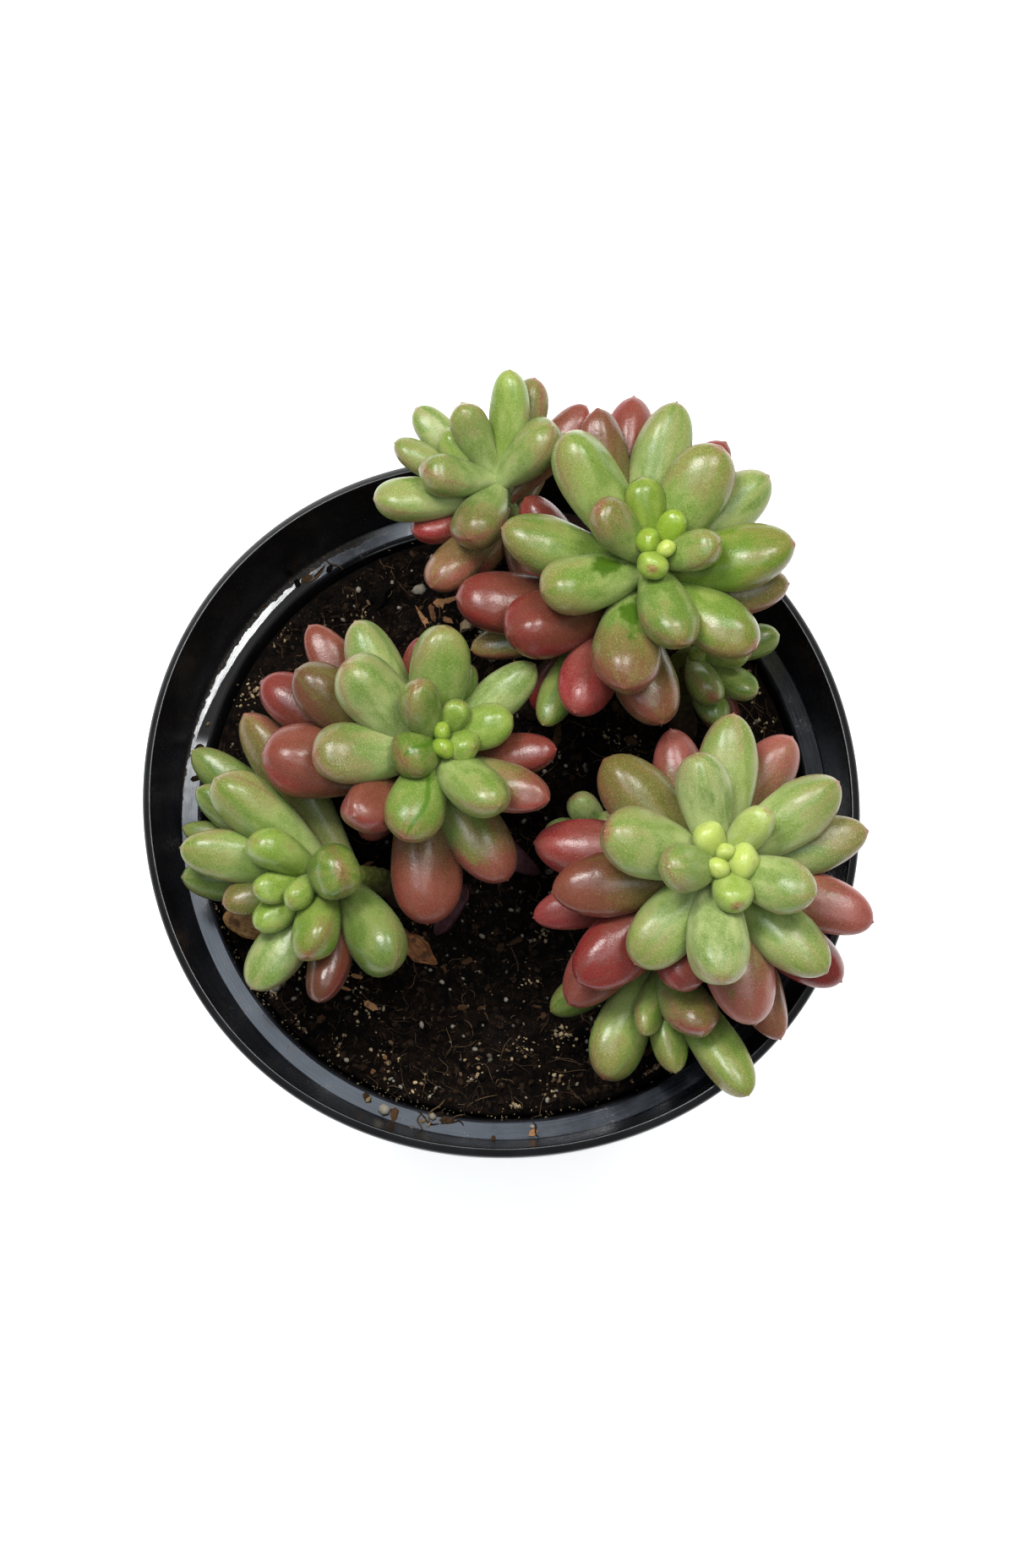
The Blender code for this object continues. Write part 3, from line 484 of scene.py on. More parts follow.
def smooth(values, low, high):
    """0 below low, 1 above high and a smooth step between them."""
    t = np.clip((values - low) / (high - low), 0, 1)
    return t * t * (3 - 2 * t)


def lattice_noise(x, y, cell, seed):
    """Noise from 0 to 1: random numbers on a square lattice, blended by a smooth step between its knots."""
    table = np.random.default_rng(seed).random((LATTICE, LATTICE))
    gx, gy = x / cell, y / cell
    ix, iy = np.floor(gx).astype(int), np.floor(gy).astype(int)
    fx, fy = smooth(gx - ix, 0, 1), smooth(gy - iy, 0, 1)
    left, right, low, high = ix % LATTICE, (ix + 1) % LATTICE, iy % LATTICE, (iy + 1) % LATTICE
    near = table[left, low] * (1 - fx) + table[right, low] * fx
    far = table[left, high] * (1 - fx) + table[right, high] * fx
    return near * (1 - fy) + far * fy


def around(count):
    """Angles of a full turn in equal steps."""
    return np.arange(count) * 2 * pi / count


def ringed(radius, angles, heights):
    """Points at radii, angles and heights."""
    return np.stack([radius * np.cos(angles), radius * np.sin(angles), heights + 0 * radius * angles], -1)


def extended(columns, *more):
    """Columns of values with more values at the end of each."""
    return [np.append(column, values) for column, values in zip(columns, more)]


# Meshes

def skin(rings, sides, copies=1):
    """Faces of tubes closed by a point at each end: quads between the rings and a fan at each end."""
    s = np.arange(sides)
    after = (s + 1) % sides
    first = np.stack([0 * s, 1 + after, 1 + s], -1)
    ring = np.arange(rings - 1)[:, None] * sides + 1
    quads = np.stack([ring + s, ring + after, ring + sides + after, ring + sides + s], -1).reshape(-1, 4)
    top = 1 + (rings - 1) * sides
    last = np.stack([top + s, top + after, 0 * s + top + sides], -1)
    step = (np.arange(copies) * (rings * sides + 2))[:, None, None]
    fans = (np.concatenate([first, last])[None] + step).reshape(-1, 3)
    return (quads[None] + step).reshape(-1, 4), fans


def closed(first, rings, last):
    """The points of closed tubes, in the order that skin counts them: a point, the rings, a point.

    The rings have the shape (copies, rings, sides, values) and the end points (copies, values).
    """
    copies, values = len(rings), rings.shape[-1]
    body = rings.reshape(copies, -1, values)
    return np.concatenate([first[:, None], body, last[:, None]], 1).reshape(-1, values)


def carry(mesh, label, values):
    """Give each point of a mesh three values of its own."""
    layer = mesh.attributes.new(label, "FLOAT_VECTOR", "POINT")
    layer.data.foreach_set("vector", values.astype(np.float32).ravel())


def put(name, data):
    """An object in the scene that shows a mesh, a lamp or a camera."""
    thing = bpy.data.objects.new(name, data)
    bpy.context.scene.collection.objects.link(thing)
    return thing


def new_piece(name, points, face_groups, materials, stands_for=(), attributes=None,
              groups_material=None, flat=False):
    """A piece of the model from points in millimetres and arrays of quads and triangles.

    groups_material gives the number of each array's material; attributes holds three values a point by label.
    """
    mesh = bpy.data.meshes.new(name)
    mesh.vertices.add(len(points))
    mesh.vertices.foreach_set("co", (points * MM).astype(np.float32).ravel())
    corners = np.concatenate([group.ravel() for group in face_groups])
    sizes = np.concatenate([np.full(len(group), group.shape[1]) for group in face_groups])
    mesh.loops.add(len(corners))
    mesh.loops.foreach_set("vertex_index", corners.astype(np.int32))
    mesh.polygons.add(len(sizes))
    mesh.polygons.foreach_set("loop_start", np.concatenate([[0], np.cumsum(sizes)[:-1]]).astype(np.int32))
    for material in materials:
        mesh.materials.append(material)
    if groups_material is not None:
        index = np.concatenate([np.full(len(group), m) for group, m in zip(face_groups, groups_material)])
        mesh.polygons.foreach_set("material_index", index.astype(np.int32))
    mesh.update(calc_edges=True)
    for label, values in (attributes or {}).items():
        carry(mesh, label, values)
    if flat:
        mesh.shade_flat()
    else:
        mesh.shade_smooth()
    piece = put(name, mesh)
    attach(piece, "root")
    if stands_for:
        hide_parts(*stands_for)
    return piece


# Shader nodes

class Value:
    """A socket that arithmetic can be written on."""

    def __init__(self, finish, socket):
        self.finish = finish
        self.socket = socket

    def __add__(self, other):
        return self.finish.math("ADD", self, other)

    def __radd__(self, other):
        return self.finish.math("ADD", other, self)

    def __sub__(self, other):
        return self.finish.math("SUBTRACT", self, other)

    def __rsub__(self, other):
        return self.finish.math("SUBTRACT", other, self)

    def __mul__(self, other):
        return self.finish.math("MULTIPLY", self, other)

    def __rmul__(self, other):
        return self.finish.math("MULTIPLY", other, self)


class Finish:
    """A material and its nodes."""

    def __init__(self, name, **fixed):
        self.material = bpy.data.materials.new(name)
        self.material.use_nodes = True
        self.tree = self.material.node_tree
        self.shader = self.tree.nodes["Principled BSDF"]
        for socket, value in fixed.items():
            self.shader.inputs[socket.replace("_", " ")].default_value = value

    def node(self, kind, settings=(), inputs=(), output=0):
        """A node of a kind: its settings first, then its sockets' values or links."""
        node = self.tree.nodes.new("ShaderNode" + kind)
        for name, value in dict(settings).items():
            setattr(node, name, value)
        for name, value in dict(inputs).items():
            if isinstance(value, Value):
                self.tree.links.new(value.socket, node.inputs[name])
            else:
                node.inputs[name].default_value = value
        return Value(self, node.outputs[output])

    def math(self, operation, first, second=0.0):
        return self.node("Math", {"operation": operation}, {0: first, 1: second})

    def step(self, value, low, high):
        """0 below low, 1 above high and a smooth step between them."""
        return self.node("MapRange", {"interpolation_type": "SMOOTHSTEP"},
                         {"Value": value, "From Min": low, "From Max": high})

    def mix(self, factor, first, second, blend="MIX"):
        """A blend of two colours, given as sockets or as red, green and blue."""
        first, second = (c if isinstance(c, Value) else (*c, 1.0) for c in (first, second))
        return self.node("Mix", {"data_type": "RGBA", "blend_type": blend, "clamp_factor": True},
                         {0: factor, 6: first, 7: second}, output=2)

    def place(self):
        """The point on the object, in metres."""
        return self.node("TexCoord", output="Object")

    def stretch(self, vector, scale):
        return self.node("VectorMath", {"operation": "MULTIPLY"}, {0: vector, 1: scale})

    def noise(self, vector, size, detail=2.0, roughness=0.5):
        """Noise about 0.5 whose grain is about size millimetres."""
        return self.node("TexNoise", {}, {"Vector": vector, "Scale": 1 / (size * MM), "Detail": detail,
                                          "Roughness": roughness})

    def own_noise(self, parts, roughness):
        """Noise whose grain is about 1, over three values of the piece's own."""
        vector = self.node("CombineXYZ", {}, dict(enumerate(parts)))
        return self.node("TexNoise", {}, {"Vector": vector, "Scale": 1.0, "Detail": 3.0,
                                          "Roughness": roughness})

    def parts(self, vector):
        """The three values of a vector."""
        apart = self.node("SeparateXYZ", {}, {0: vector})
        sockets = apart.socket.node.outputs
        return [Value(self, sockets[i]) for i in range(3)]

    def attribute(self, label):
        """The three values of one of the piece's own attributes."""
        return self.parts(self.node("Attribute", {"attribute_name": label}, output="Vector"))

    def bump(self, height, depth, normal=None):
        """Relief: a height from 0 to 1 that stands for depth millimetres."""
        inputs = {"Height": height, "Distance": depth * MM, "Strength": 1.0}
        if normal:
            inputs["Normal"] = normal
        return self.node("Bump", {}, inputs)

    def feed(self, **links):
        """Link values to the shader's sockets."""
        for socket, value in links.items():
            self.tree.links.new(value.socket, self.shader.inputs[socket.replace("_", " ")])
        return self.material


def leaf_finish():
    """Waxy leaf: green under a pale powdery bloom, stippled over with brown and red where it is blushed."""
    leaf = Finish("sedum leaf", Subsurface_Weight=0.12, Subsurface_Scale=0.0010,
                  Subsurface_Radius=(1.0, 0.8, 0.3), Specular_IOR_Level=0.38,
                  Sheen_Weight=0.04, Sheen_Roughness=0.35, Sheen_Tint=(0.93, 1.0, 0.93, 1.0))
    point = leaf.place()
    along, across, rise = leaf.attribute("place")
    blush_base, blush_tip, redness = leaf.attribute("blush")
    youth, dot, bloom = leaf.attribute("growth")
    dark, scar, rub = leaf.attribute("shade_and_marks")
    speck = leaf.noise(point, 0.18, 1.0)
    stipple = leaf.noise(point, 0.42, 3.0, 0.65)
    patches = leaf.noise(point, 2.4, 3.0)
    broad = leaf.noise(point, 8.0, 1.0)
    streak = leaf.own_noise((along * 3.4, across * 1.5 + blush_base * 90.0, rise * 1.5), 0.55)
    margin = 1 - leaf.step(leaf.math("ABSOLUTE", rise), 0.0, 0.10)
    rim = 1 - leaf.step(leaf.math("ABSOLUTE", rise), 0.05, 0.5)
    reach = leaf.step(along + (streak - 0.5) * 0.5, 0.30, 0.98)
    blush = blush_base + (blush_tip - blush_base) * reach + rim * reach * 0.15
    blush = blush - (1 - rim) * leaf.step(blush, 0.45, 0.8) * (0.04 + 0.26 * leaf.step(streak, 0.38, 0.68))
    blush = blush + (stipple - 0.5) * 0.50 * leaf.step(blush, 0.02, 0.45) + (streak - 0.5) * 0.45

    green = leaf.mix(leaf.step(streak + (broad - 0.5) * 0.4, 0.40, 0.62), GREEN_DEEP, GREEN_PLAIN)
    yellow = leaf.step(streak * 0.5 + redness * 0.6, 0.25, 0.85)
    green = leaf.mix(youth, green, leaf.mix(yellow, GREEN_YOUNG, YELLOW_YOUNG))
    powder = bloom * (0.20 + 0.58 * leaf.step(streak, 0.30, 0.76)) * (1 - 0.40 * leaf.step(along, 0.4, 0.95))
    # The bloom is also paler along the leaf's sides, which from above are seen edge-on: partly real bloom,
    # partly a painted sheen.
    powder = powder + bloom * (0.30 * (1 - leaf.step(along, 0.1, 0.55)) + 0.25 * rim + (stipple - 0.5) * 0.45)
    green = leaf.mix(powder, green, POWDER_GREEN)
    brown = leaf.mix(redness, BROWN, RED_BROWN)
    olive = leaf.mix(0.5, green, brown)
    colour = leaf.mix(leaf.step(blush, 0.12, 0.42), green, olive)
    colour = leaf.mix(leaf.step(blush, 0.42, 0.78), colour, brown)
    colour = leaf.mix(leaf.step(blush, 0.78, 1.25) * redness, colour, RED)
    dusty = leaf.step(streak + bloom * 0.2, 0.45, 0.75) * (0.04 + 0.50 * bloom)
    colour = leaf.mix(leaf.step(blush, 0.4, 0.8) * dusty, colour, POWDER_RED)
    spot = leaf.step(along + (stipple - 0.5) * 0.05, 0.955, 1.0) * dot
    colour = leaf.mix(spot * 0.8, colour, TIP_RED)
    margin = margin * 0.40 * leaf.step(along, 0.3, 0.7) * leaf.step(blush_tip, 0.05, 0.3)
    colour = leaf.mix(margin, colour, MARGIN)
    pale = leaf.mix(leaf.step(blush, 0.4, 0.8), POWDER_PALE, POWDER_PINK)
    colour = leaf.mix(leaf.step(speck, 0.56, 0.72) * (0.24 + 0.20 * bloom), colour, pale)
    colour = leaf.mix((1 - leaf.step(speck, 0.27, 0.44)) * 0.42, colour, PORE, "MULTIPLY")
    upper = leaf.step(rise, 0.0, 0.3)
    track = across - 0.10 - 0.14 * leaf.math("SINE", along * 7.0) + (patches - 0.5) * 0.15
    line = (1 - leaf.step(leaf.math("ABSOLUTE", track), 0.05, 0.13)) * scar * upper
    spill = leaf.math("ABSOLUTE", along - 0.44) * 3.4 + leaf.math("ABSOLUTE", across - 0.12) * 1.6
    bruise = (1 - leaf.step(spill + (patches - 0.5) * 1.8, 0.45, 0.9)) * rub * upper
    colour = leaf.mix(line * 0.8, colour, SCAR)
    colour = leaf.mix(bruise * 0.9, colour, BRUISE)
    # Painted shade: a leaf is darkened towards SHADE by its tone's darkness, for leaves that lie in shadow;
    # for some old leaves it is also their own deeper tone.
    colour = leaf.mix(dark * 0.5, colour, SHADE)
    roughness = 0.25 + bloom * 0.06 + (patches - 0.5) * 0.12 + (speck - 0.5) * 0.10
    relief = leaf.bump(speck, 0.012, leaf.bump(stipple, 0.02, leaf.bump(patches, 0.12)))
    return leaf.feed(Base_Color=colour, Roughness=roughness, Normal=relief)


def stalk_finish():
    """Stalk: yellow-green near the crown, browner and rougher towards the soil."""
    stalk = Finish("sedum stalk", Subsurface_Weight=0.1, Subsurface_Scale=0.001)
    point = stalk.place()
    grown, _, _ = stalk.attribute("place")
    grain = stalk.noise(stalk.stretch(point, (1, 1, 0.35)), 0.8, 4.0)
    colour = stalk.mix(stalk.step(grown + (grain - 0.5) * 0.5, 0.25, 0.7), STALK_LOW, STALK_HIGH)
    colour = stalk.mix(stalk.step(grain, 0.5, 0.75) * 0.5, colour, STALK_SCALE)
    return stalk.feed(Base_Color=colour, Roughness=0.5 + grain * 0.3, Normal=stalk.bump(grain, 0.3))


def pot_finish(name, shine):
    """Thin black plastic: glossy, finely scratched round the ledge, with dust and peat stuck to it.

    The ledge's inner half is dull and darker towards GLINT_BEARING, and dirt frays the ledge's outer edge
    there;
    beyond that stretch, to the right, the ledge sags by SAG.
    """
    pot = Finish(name, Specular_IOR_Level=shine)
    point = pot.place()
    _, _, z = pot.parts(point)
    radius, east, north = pot.attribute("turned")
    turn = pot.math("ARCTAN2", north * -1.0, east * -1.0)
    stretched = pot.node("CombineXYZ", {}, {0: radius * 0.004, 1: turn * 0.006, 2: z * 4.0})
    scratches = pot.noise(stretched, 1.0, 3.0, 0.7)
    haze = pot.noise(point, 6.0, 3.0)
    grit = pot.noise(point, 0.5, 2.0, 0.7)
    lumps = pot.noise(point, 1.6, 3.0, 0.6)
    top = LEDGE_HEIGHT * MM
    level = pot.step(z, top - 0.0010, top - 0.0004) * (1 - pot.step(z, top + 0.0003, top + 0.0008))
    ledge = level * pot.step(radius, LEDGE_INNER - 0.4, LEDGE_INNER)
    low = 1 - pot.step(z, top, top + 0.0130)
    inside = pot.step(z, top - 0.0015, top - 0.0005) * (1 - pot.step(radius - z * 200, 34.9, 35.2))
    facing = east * cos(GLINT_BEARING) + north * sin(GLINT_BEARING)
    glint = pot.step(facing, cos(GLINT_HALF + radians(3)), cos(GLINT_HALF))
    frayed = radius + (lumps - 0.5) * 1.5
    side = north * cos(GLINT_BEARING) - east * sin(GLINT_BEARING)
    inner = radius + (lumps - 0.5) * 0.25 - side * 0.83 - side * side * 6.8
    # A band on the ledge's inner half along the bright stretch, rougher and a little blacker than the plastic.
    dull_band = ledge * glint * (1 - pot.step(inner, 47.30, 47.46))
    fringe = ledge * pot.step(facing, 0.80, 0.90) * pot.step(frayed - side * 0.95, 48.34, 48.50)
    dirt = pot.step(grit + (haze - 0.5) * 0.6, 0.68, 0.76) * inside * (0.25 + 0.75 * low)
    colour = pot.mix(pot.step(haze, 0.35, 0.75), PLASTIC, PLASTIC_HAZE)
    colour = pot.mix(ledge * pot.step(scratches + haze * 0.4, 0.45, 0.9), colour, LEDGE_SCRATCH)
    colour = pot.mix(dull_band, colour, DULL_BAND_BLACK)
    colour = pot.mix(fringe, colour, pot.mix(pot.step(grit, 0.5, 0.7), FRINGE_DARK, FRINGE_TAN))
    colour = pot.mix(dirt * 0.85, colour, DUST)
    roughness = 0.17 + inside * (1 - ledge) * 0.10 - ledge * 0.09 + (haze - 0.5) * 0.12
    roughness = roughness + scratches * 0.07 * ledge + dirt * 0.5 + (dull_band + fringe) * 0.7
    sag = (1 - pot.step(side, -sin(GLINT_HALF + radians(21)), -sin(GLINT_HALF))) * pot.step(facing, 0.1, 0.5)
    relief = pot.bump(scratches, 0.006, pot.bump(1 - sag * level, SAG, pot.bump(haze, 0.03)))
    return pot.feed(Base_Color=colour, Roughness=roughness, Normal=relief)


def peat_finish():
    """Damp peat: nearly black, with browner fibres, crumbs and a little wet gloss."""
    peat = Finish("damp peat", Specular_IOR_Level=0.08)
    point = peat.place()
    crumb = peat.noise(point, 1.6, 4.0, 0.65)
    fine = peat.noise(point, 0.35, 3.0, 0.7)
    aside = peat.node("VectorMath", {"operation": "ADD"}, {0: point, 1: (0.3, 0.3, 0)})
    strands = peat.noise(peat.stretch(aside, (1.0, 0.22, 1.0)), 0.5, 3.0, 0.7)
    broad = peat.noise(point, 9.0, 2.0)
    colour = peat.mix(peat.step(crumb, 0.38, 0.72), PEAT_BLACK, PEAT_BROWN)
    colour = peat.mix(peat.step(fine, 0.60, 0.72) * 0.7 * peat.step(broad, 0.35, 0.7), colour, PEAT_FLECK)
    colour = peat.mix(peat.step(strands, 0.62, 0.72) * 0.7, colour, PEAT_STRAND)
    # Painted shade: the hollows of the fine relief, where fine is low, are darkened to near black.
    colour = peat.mix((1 - peat.step(fine, 0.36, 0.48)) * 0.8, colour, PEAT_HOLLOW_SHADE)
    roughness = 0.95 - peat.step(broad, 0.5, 0.8) * 0.35
    relief = peat.bump(fine, 0.25, peat.bump(crumb, 0.6))
    return peat.feed(Base_Color=colour, Roughness=roughness, Normal=relief)


def speckled_finish(name, dark, light, size, roughness, depth, shine):
    """A grainy finish between two colours, from the grain and each bit's own tint."""
    grainy = Finish(name, Specular_IOR_Level=shine)
    point = grainy.place()
    grain = grainy.noise(point, size, 3.0, 0.65)
    tint, _, _ = grainy.attribute("tint")
    colour = grainy.mix(grainy.step(grain * 0.7 + tint * 0.6, 0.30, 0.95), dark, light)
    return grainy.feed(Base_Color=colour, Roughness=roughness + grain * 0.2, Normal=grainy.bump(grain, depth))


def litter_finish(name, dark, light, spots, roughness, shine):
    """The chip, the dry leaf or a shrivelled leaf: ridged along its length, spotted."""
    dry = Finish(name, Specular_IOR_Level=shine)
    point = dry.place()
    along, across, _ = dry.attribute("place")
    ridges = dry.own_noise((along * 2.0, across * 9.0, 0.0), 0.6)
    grain = dry.noise(point, 0.7, 4.0, 0.65)
    colour = dry.mix(dry.step(ridges * 0.5 + grain * 0.5, 0.35, 0.65), dark, light)
    colour = dry.mix(dry.step(dry.noise(point, 1.8, 2.0), 0.56, 0.68) * 0.8, colour, spots)
    relief = dry.bump(grain, 0.12, dry.bump(ridges, 0.35))
    return dry.feed(Base_Color=colour, Roughness=roughness + grain * 0.15, Normal=relief)


# Pot and soil

def pot_inner(height):
    """Radius of the pot's inner wall below the ledge."""
    low, high = BASE_RADIUS - WALL, LEDGE_INNER - 0.7
    return low + (high - low) * (height - FLOOR) / (LEDGE_HEIGHT - FLOOR)


def rounded(profile, passes):
    """A line of (radius, height) points with its corners cut twice as fine at each pass."""
    for _ in range(passes):
        near = 0.75 * profile[:-1] + 0.25 * profile[1:]
        far = 0.25 * profile[:-1] + 0.75 * profile[1:]
        profile = np.concatenate([profile[:1], np.stack([near, far], 1).reshape(-1, 2), profile[-1:]])
    return profile


def make_pot(inside, outside):
    """The pot, turned: the CAD's profile with its corners rounded, out of round as thin plastic is.

    Each point carries its radius before the pot went out of round, and its bearing's cosine and sine.
    """
    body_top = LEDGE_HEIGHT - WALL
    band_top = POT_HEIGHT - LIP_DEPTH
    wall = pot_inner(body_top)
    corners = np.array([
        (HUB, 0), (BASE_RADIUS - 1.3, 0), (BASE_RADIUS, 1.0), (wall + WALL, body_top - 0.8),
        (wall + WALL + 0.7, body_top), (LEDGE_OUTER + 0.9, LEDGE_HEIGHT - 0.7),
        (LEDGE_OUTER + WALL + 0.1, LEDGE_HEIGHT + 0.3), (RIM_RADIUS - 1.0, band_top),
        (RIM_RADIUS - 0.1, band_top + 0.3), (RIM_RADIUS, POT_HEIGHT - 1.2),
        (RIM_RADIUS - 0.1, POT_HEIGHT - 0.8), (RIM_RADIUS - 0.9, POT_HEIGHT - 0.15),
        (RIM_RADIUS - 1.1, POT_HEIGHT), (RIM_RADIUS - 1.35, POT_HEIGHT - 0.1),
        (RIM_RADIUS - 1.55, POT_HEIGHT - 1.2), (LEDGE_OUTER + 0.15, LEDGE_HEIGHT + 0.35),
        (LEDGE_OUTER, LEDGE_HEIGHT), (LEDGE_OUTER - 0.12, LEDGE_HEIGHT), (LEDGE_INNER + 0.22, LEDGE_HEIGHT),
        (LEDGE_INNER + 0.1, LEDGE_HEIGHT), (LEDGE_INNER - 0.35, LEDGE_HEIGHT - 0.4),
        (wall, body_top - 0.6), (pot_inner(FLOOR + 1.0), FLOOR + 1.0),
        (pot_inner(FLOOR) - 1.0, FLOOR), (HUB, FLOOR)], float)
    profile = rounded(corners, ROUNDING_PASSES)
    angles = around(POT_SIDES)
    radius = profile[:, 0, None] + oval(angles[None], profile[:, 1, None])
    rings = ringed(radius, angles, profile[:, 1, None])
    points = closed(np.array([[0, 0, 0.0]]), rings[None], np.array([[0, 0, FLOOR]]))
    quads, fans = skin(len(profile), POT_SIDES)
    lip = OUTER_CORNERS * len(profile) // len(corners) * POT_SIDES
    pot = new_piece("nursery_pot", points, (quads[:lip], quads[lip:], fans), [inside, outside], ["pot"],
                    groups_material=(1, 0, 0))
    for turn in around(DRAIN_COUNT) + DRAIN_TURN:
        cut_drain(pot, DRAIN_CIRCLE * cos(turn), DRAIN_CIRCLE * sin(turn))
    place = np.empty(3 * len(pot.data.vertices), np.float32)
    pot.data.vertices.foreach_get("co", place)
    x, y, z = place.reshape(-1, 3).T / MM
    turn = np.arctan2(y, x)
    carry(pot.data, "turned", np.stack([np.hypot(x, y) - oval(turn, z), np.cos(turn), np.sin(turn)], -1))


def cut_drain(pot, x, y):
    """Take a round drain out of the pot's floor."""
    bpy.ops.mesh.primitive_cylinder_add(vertices=DRAIN_SIDES, radius=DRAIN_RADIUS * MM, depth=4 * FLOOR * MM,
                                        location=(x * MM, y * MM, 0))
    cutter = bpy.context.object
    boolean = pot.modifiers.new("drain", "BOOLEAN")
    boolean.operation = "DIFFERENCE"
    boolean.solver = "EXACT"
    boolean.object = cutter
    bpy.context.view_layer.update()
    shown = pot.evaluated_get(bpy.context.evaluated_depsgraph_get())
    mesh = bpy.data.meshes.new_from_object(shown)
    pot.modifiers.clear()
    pot.data = mesh
    bpy.data.objects.remove(cutter)


def soil_swell(x, y):
    """The soil's low waves, as the CAD has them, level where something lies on it."""
    waves = (np.sin(0.31 * x + 0.17 * y + 0.8) + np.sin(0.53 * y - 0.21 * x + 2.1)
             + 0.8 * np.sin(0.72 * x + 0.66 * y + 4.0) + 0.6 * np.sin(1.15 * x - 0.83 * y + 1.3))
    rise = SOIL_RELIEF * waves * 0.5
    for _, _, (cx, cy), length, *_ in LITTER:
        near = np.hypot(x - cx, y - cy) - length / 2
        rise = np.where(near < LITTER_CLEAR, np.minimum(rise, 0) * np.clip(near / LITTER_CLEAR, 0, 1), rise)
    return rise


def soil_height(x, y):
    """Height of the peat: the low waves and, on them, crumbs of four sizes as billows of lattice noise."""
    rise = soil_swell(x, y)
    for cell, height, seed in SOIL_CRUMBS:
        billow = np.abs(2 * lattice_noise(x + 0.4 * seed, y - 0.7 * seed, cell, seed) - 1)
        rise = rise + height * (billow - 0.45)
    return SOIL_TOP + rise


def make_soil(material):
    """The peat: a crumbly top of fine rings, and a plain side and underside a hair inside the pot."""
    angles = around(SOIL_SIDES)
    edge_top = SOIL_TOP - SOIL_EDGE
    side = [(BASE_RADIUS - WALL - 1.6, FLOOR + GAP), (pot_inner(FLOOR + 1.5) - GAP, FLOOR + 1.5),
            (pot_inner(edge_top) - GAP, edge_top)]
    rings = [ringed(radius + oval(angles, height) * 0.95, angles, height) for radius, height in side]
    share = np.linspace(0.992, 0.006, SOIL_RINGS)[:, None]
    x, y = rings[-1][:, 0] * share, rings[-1][:, 1] * share
    top = np.stack([x, y, soil_height(x, y)], -1)
    rings = np.concatenate([np.array(rings), top])
    middle = np.array([[0, 0, soil_height(np.zeros(1), np.zeros(1))[0]]])
    points = closed(np.array([[0, 0, FLOOR + GAP]]), rings[None], middle)
    new_piece("peat_fill", points, skin(len(rings), SOIL_SIDES), [material], ["soil"])


def turned_at_random(draw, count, tilt):
    """Rotations: any turn about the upright, after a lean of up to tilt radians about a level axis."""
    turn, spin = draw.uniform(0, 2 * pi, (2, count))
    lean = draw.uniform(-tilt, tilt, count)
    zero, one = np.zeros(count), np.ones(count)

    def about_z(angle):
        c, s = np.cos(angle), np.sin(angle)
        return np.stack([c, -s, zero, s, c, zero, zero, zero, one], -1).reshape(-1, 3, 3)

    c, s = np.cos(lean), np.sin(lean)
    about_x = np.stack([one, zero, zero, zero, c, -s, zero, s, c], -1).reshape(-1, 3, 3)
    return about_z(turn) @ about_x @ about_z(spin)


def grains(name, x, y, z, sizes, flat, rough, seed, material):
    """Rough bits in one piece: balls of rings of points, pushed in and out, pressed flat and turned."""
    draw = np.random.default_rng(seed)
    count = len(sizes)
    rise = np.linspace(-GRAIN_CAP, GRAIN_CAP, GRAIN_RINGS)[:, None]
    ring = ringed(np.cos(rise), around(GRAIN_SIDES), np.sin(rise))
    ring = ring * draw.uniform(1 - rough, 1 + rough, (count, GRAIN_RINGS, GRAIN_SIDES, 1))
    points = closed(np.tile([0, 0, -GRAIN_END], (count, 1)), ring, np.tile([0, 0, GRAIN_END], (count, 1)))
    points = points.reshape(count, -1, 3) * (sizes[:, None] / 2)[:, None]
    longer = 1.0 + (1.0 - flat) * draw.uniform(0.0, 1.4, count)
    stretch = np.stack([longer, draw.uniform(0.65, 1.0, count) / np.sqrt(longer), np.full(count, flat)], -1)
    points = (points * stretch[:, None]) @ turned_at_random(draw, count, 0.5).transpose(0, 2, 1)
    points = points + np.stack([x, y, z], -1)[:, None]
    tint = np.zeros((*points.shape[:2], 3))
    tint[..., 0] = draw.uniform(0, 1, count)[:, None]
    new_piece(name, points.reshape(-1, 3), skin(GRAIN_RINGS, GRAIN_SIDES, count), [material],
              attributes={"tint": tint.reshape(-1, 3)}, flat=rough > SMOOTHEST)


def over_soil(draw, count):
    """Places spread evenly over the peat."""
    turn = draw.uniform(0, 2 * pi, count)
    out = SOIL_REACH * np.sqrt(draw.uniform(0, 1, count))
    return out * np.cos(turn), out * np.sin(turn)


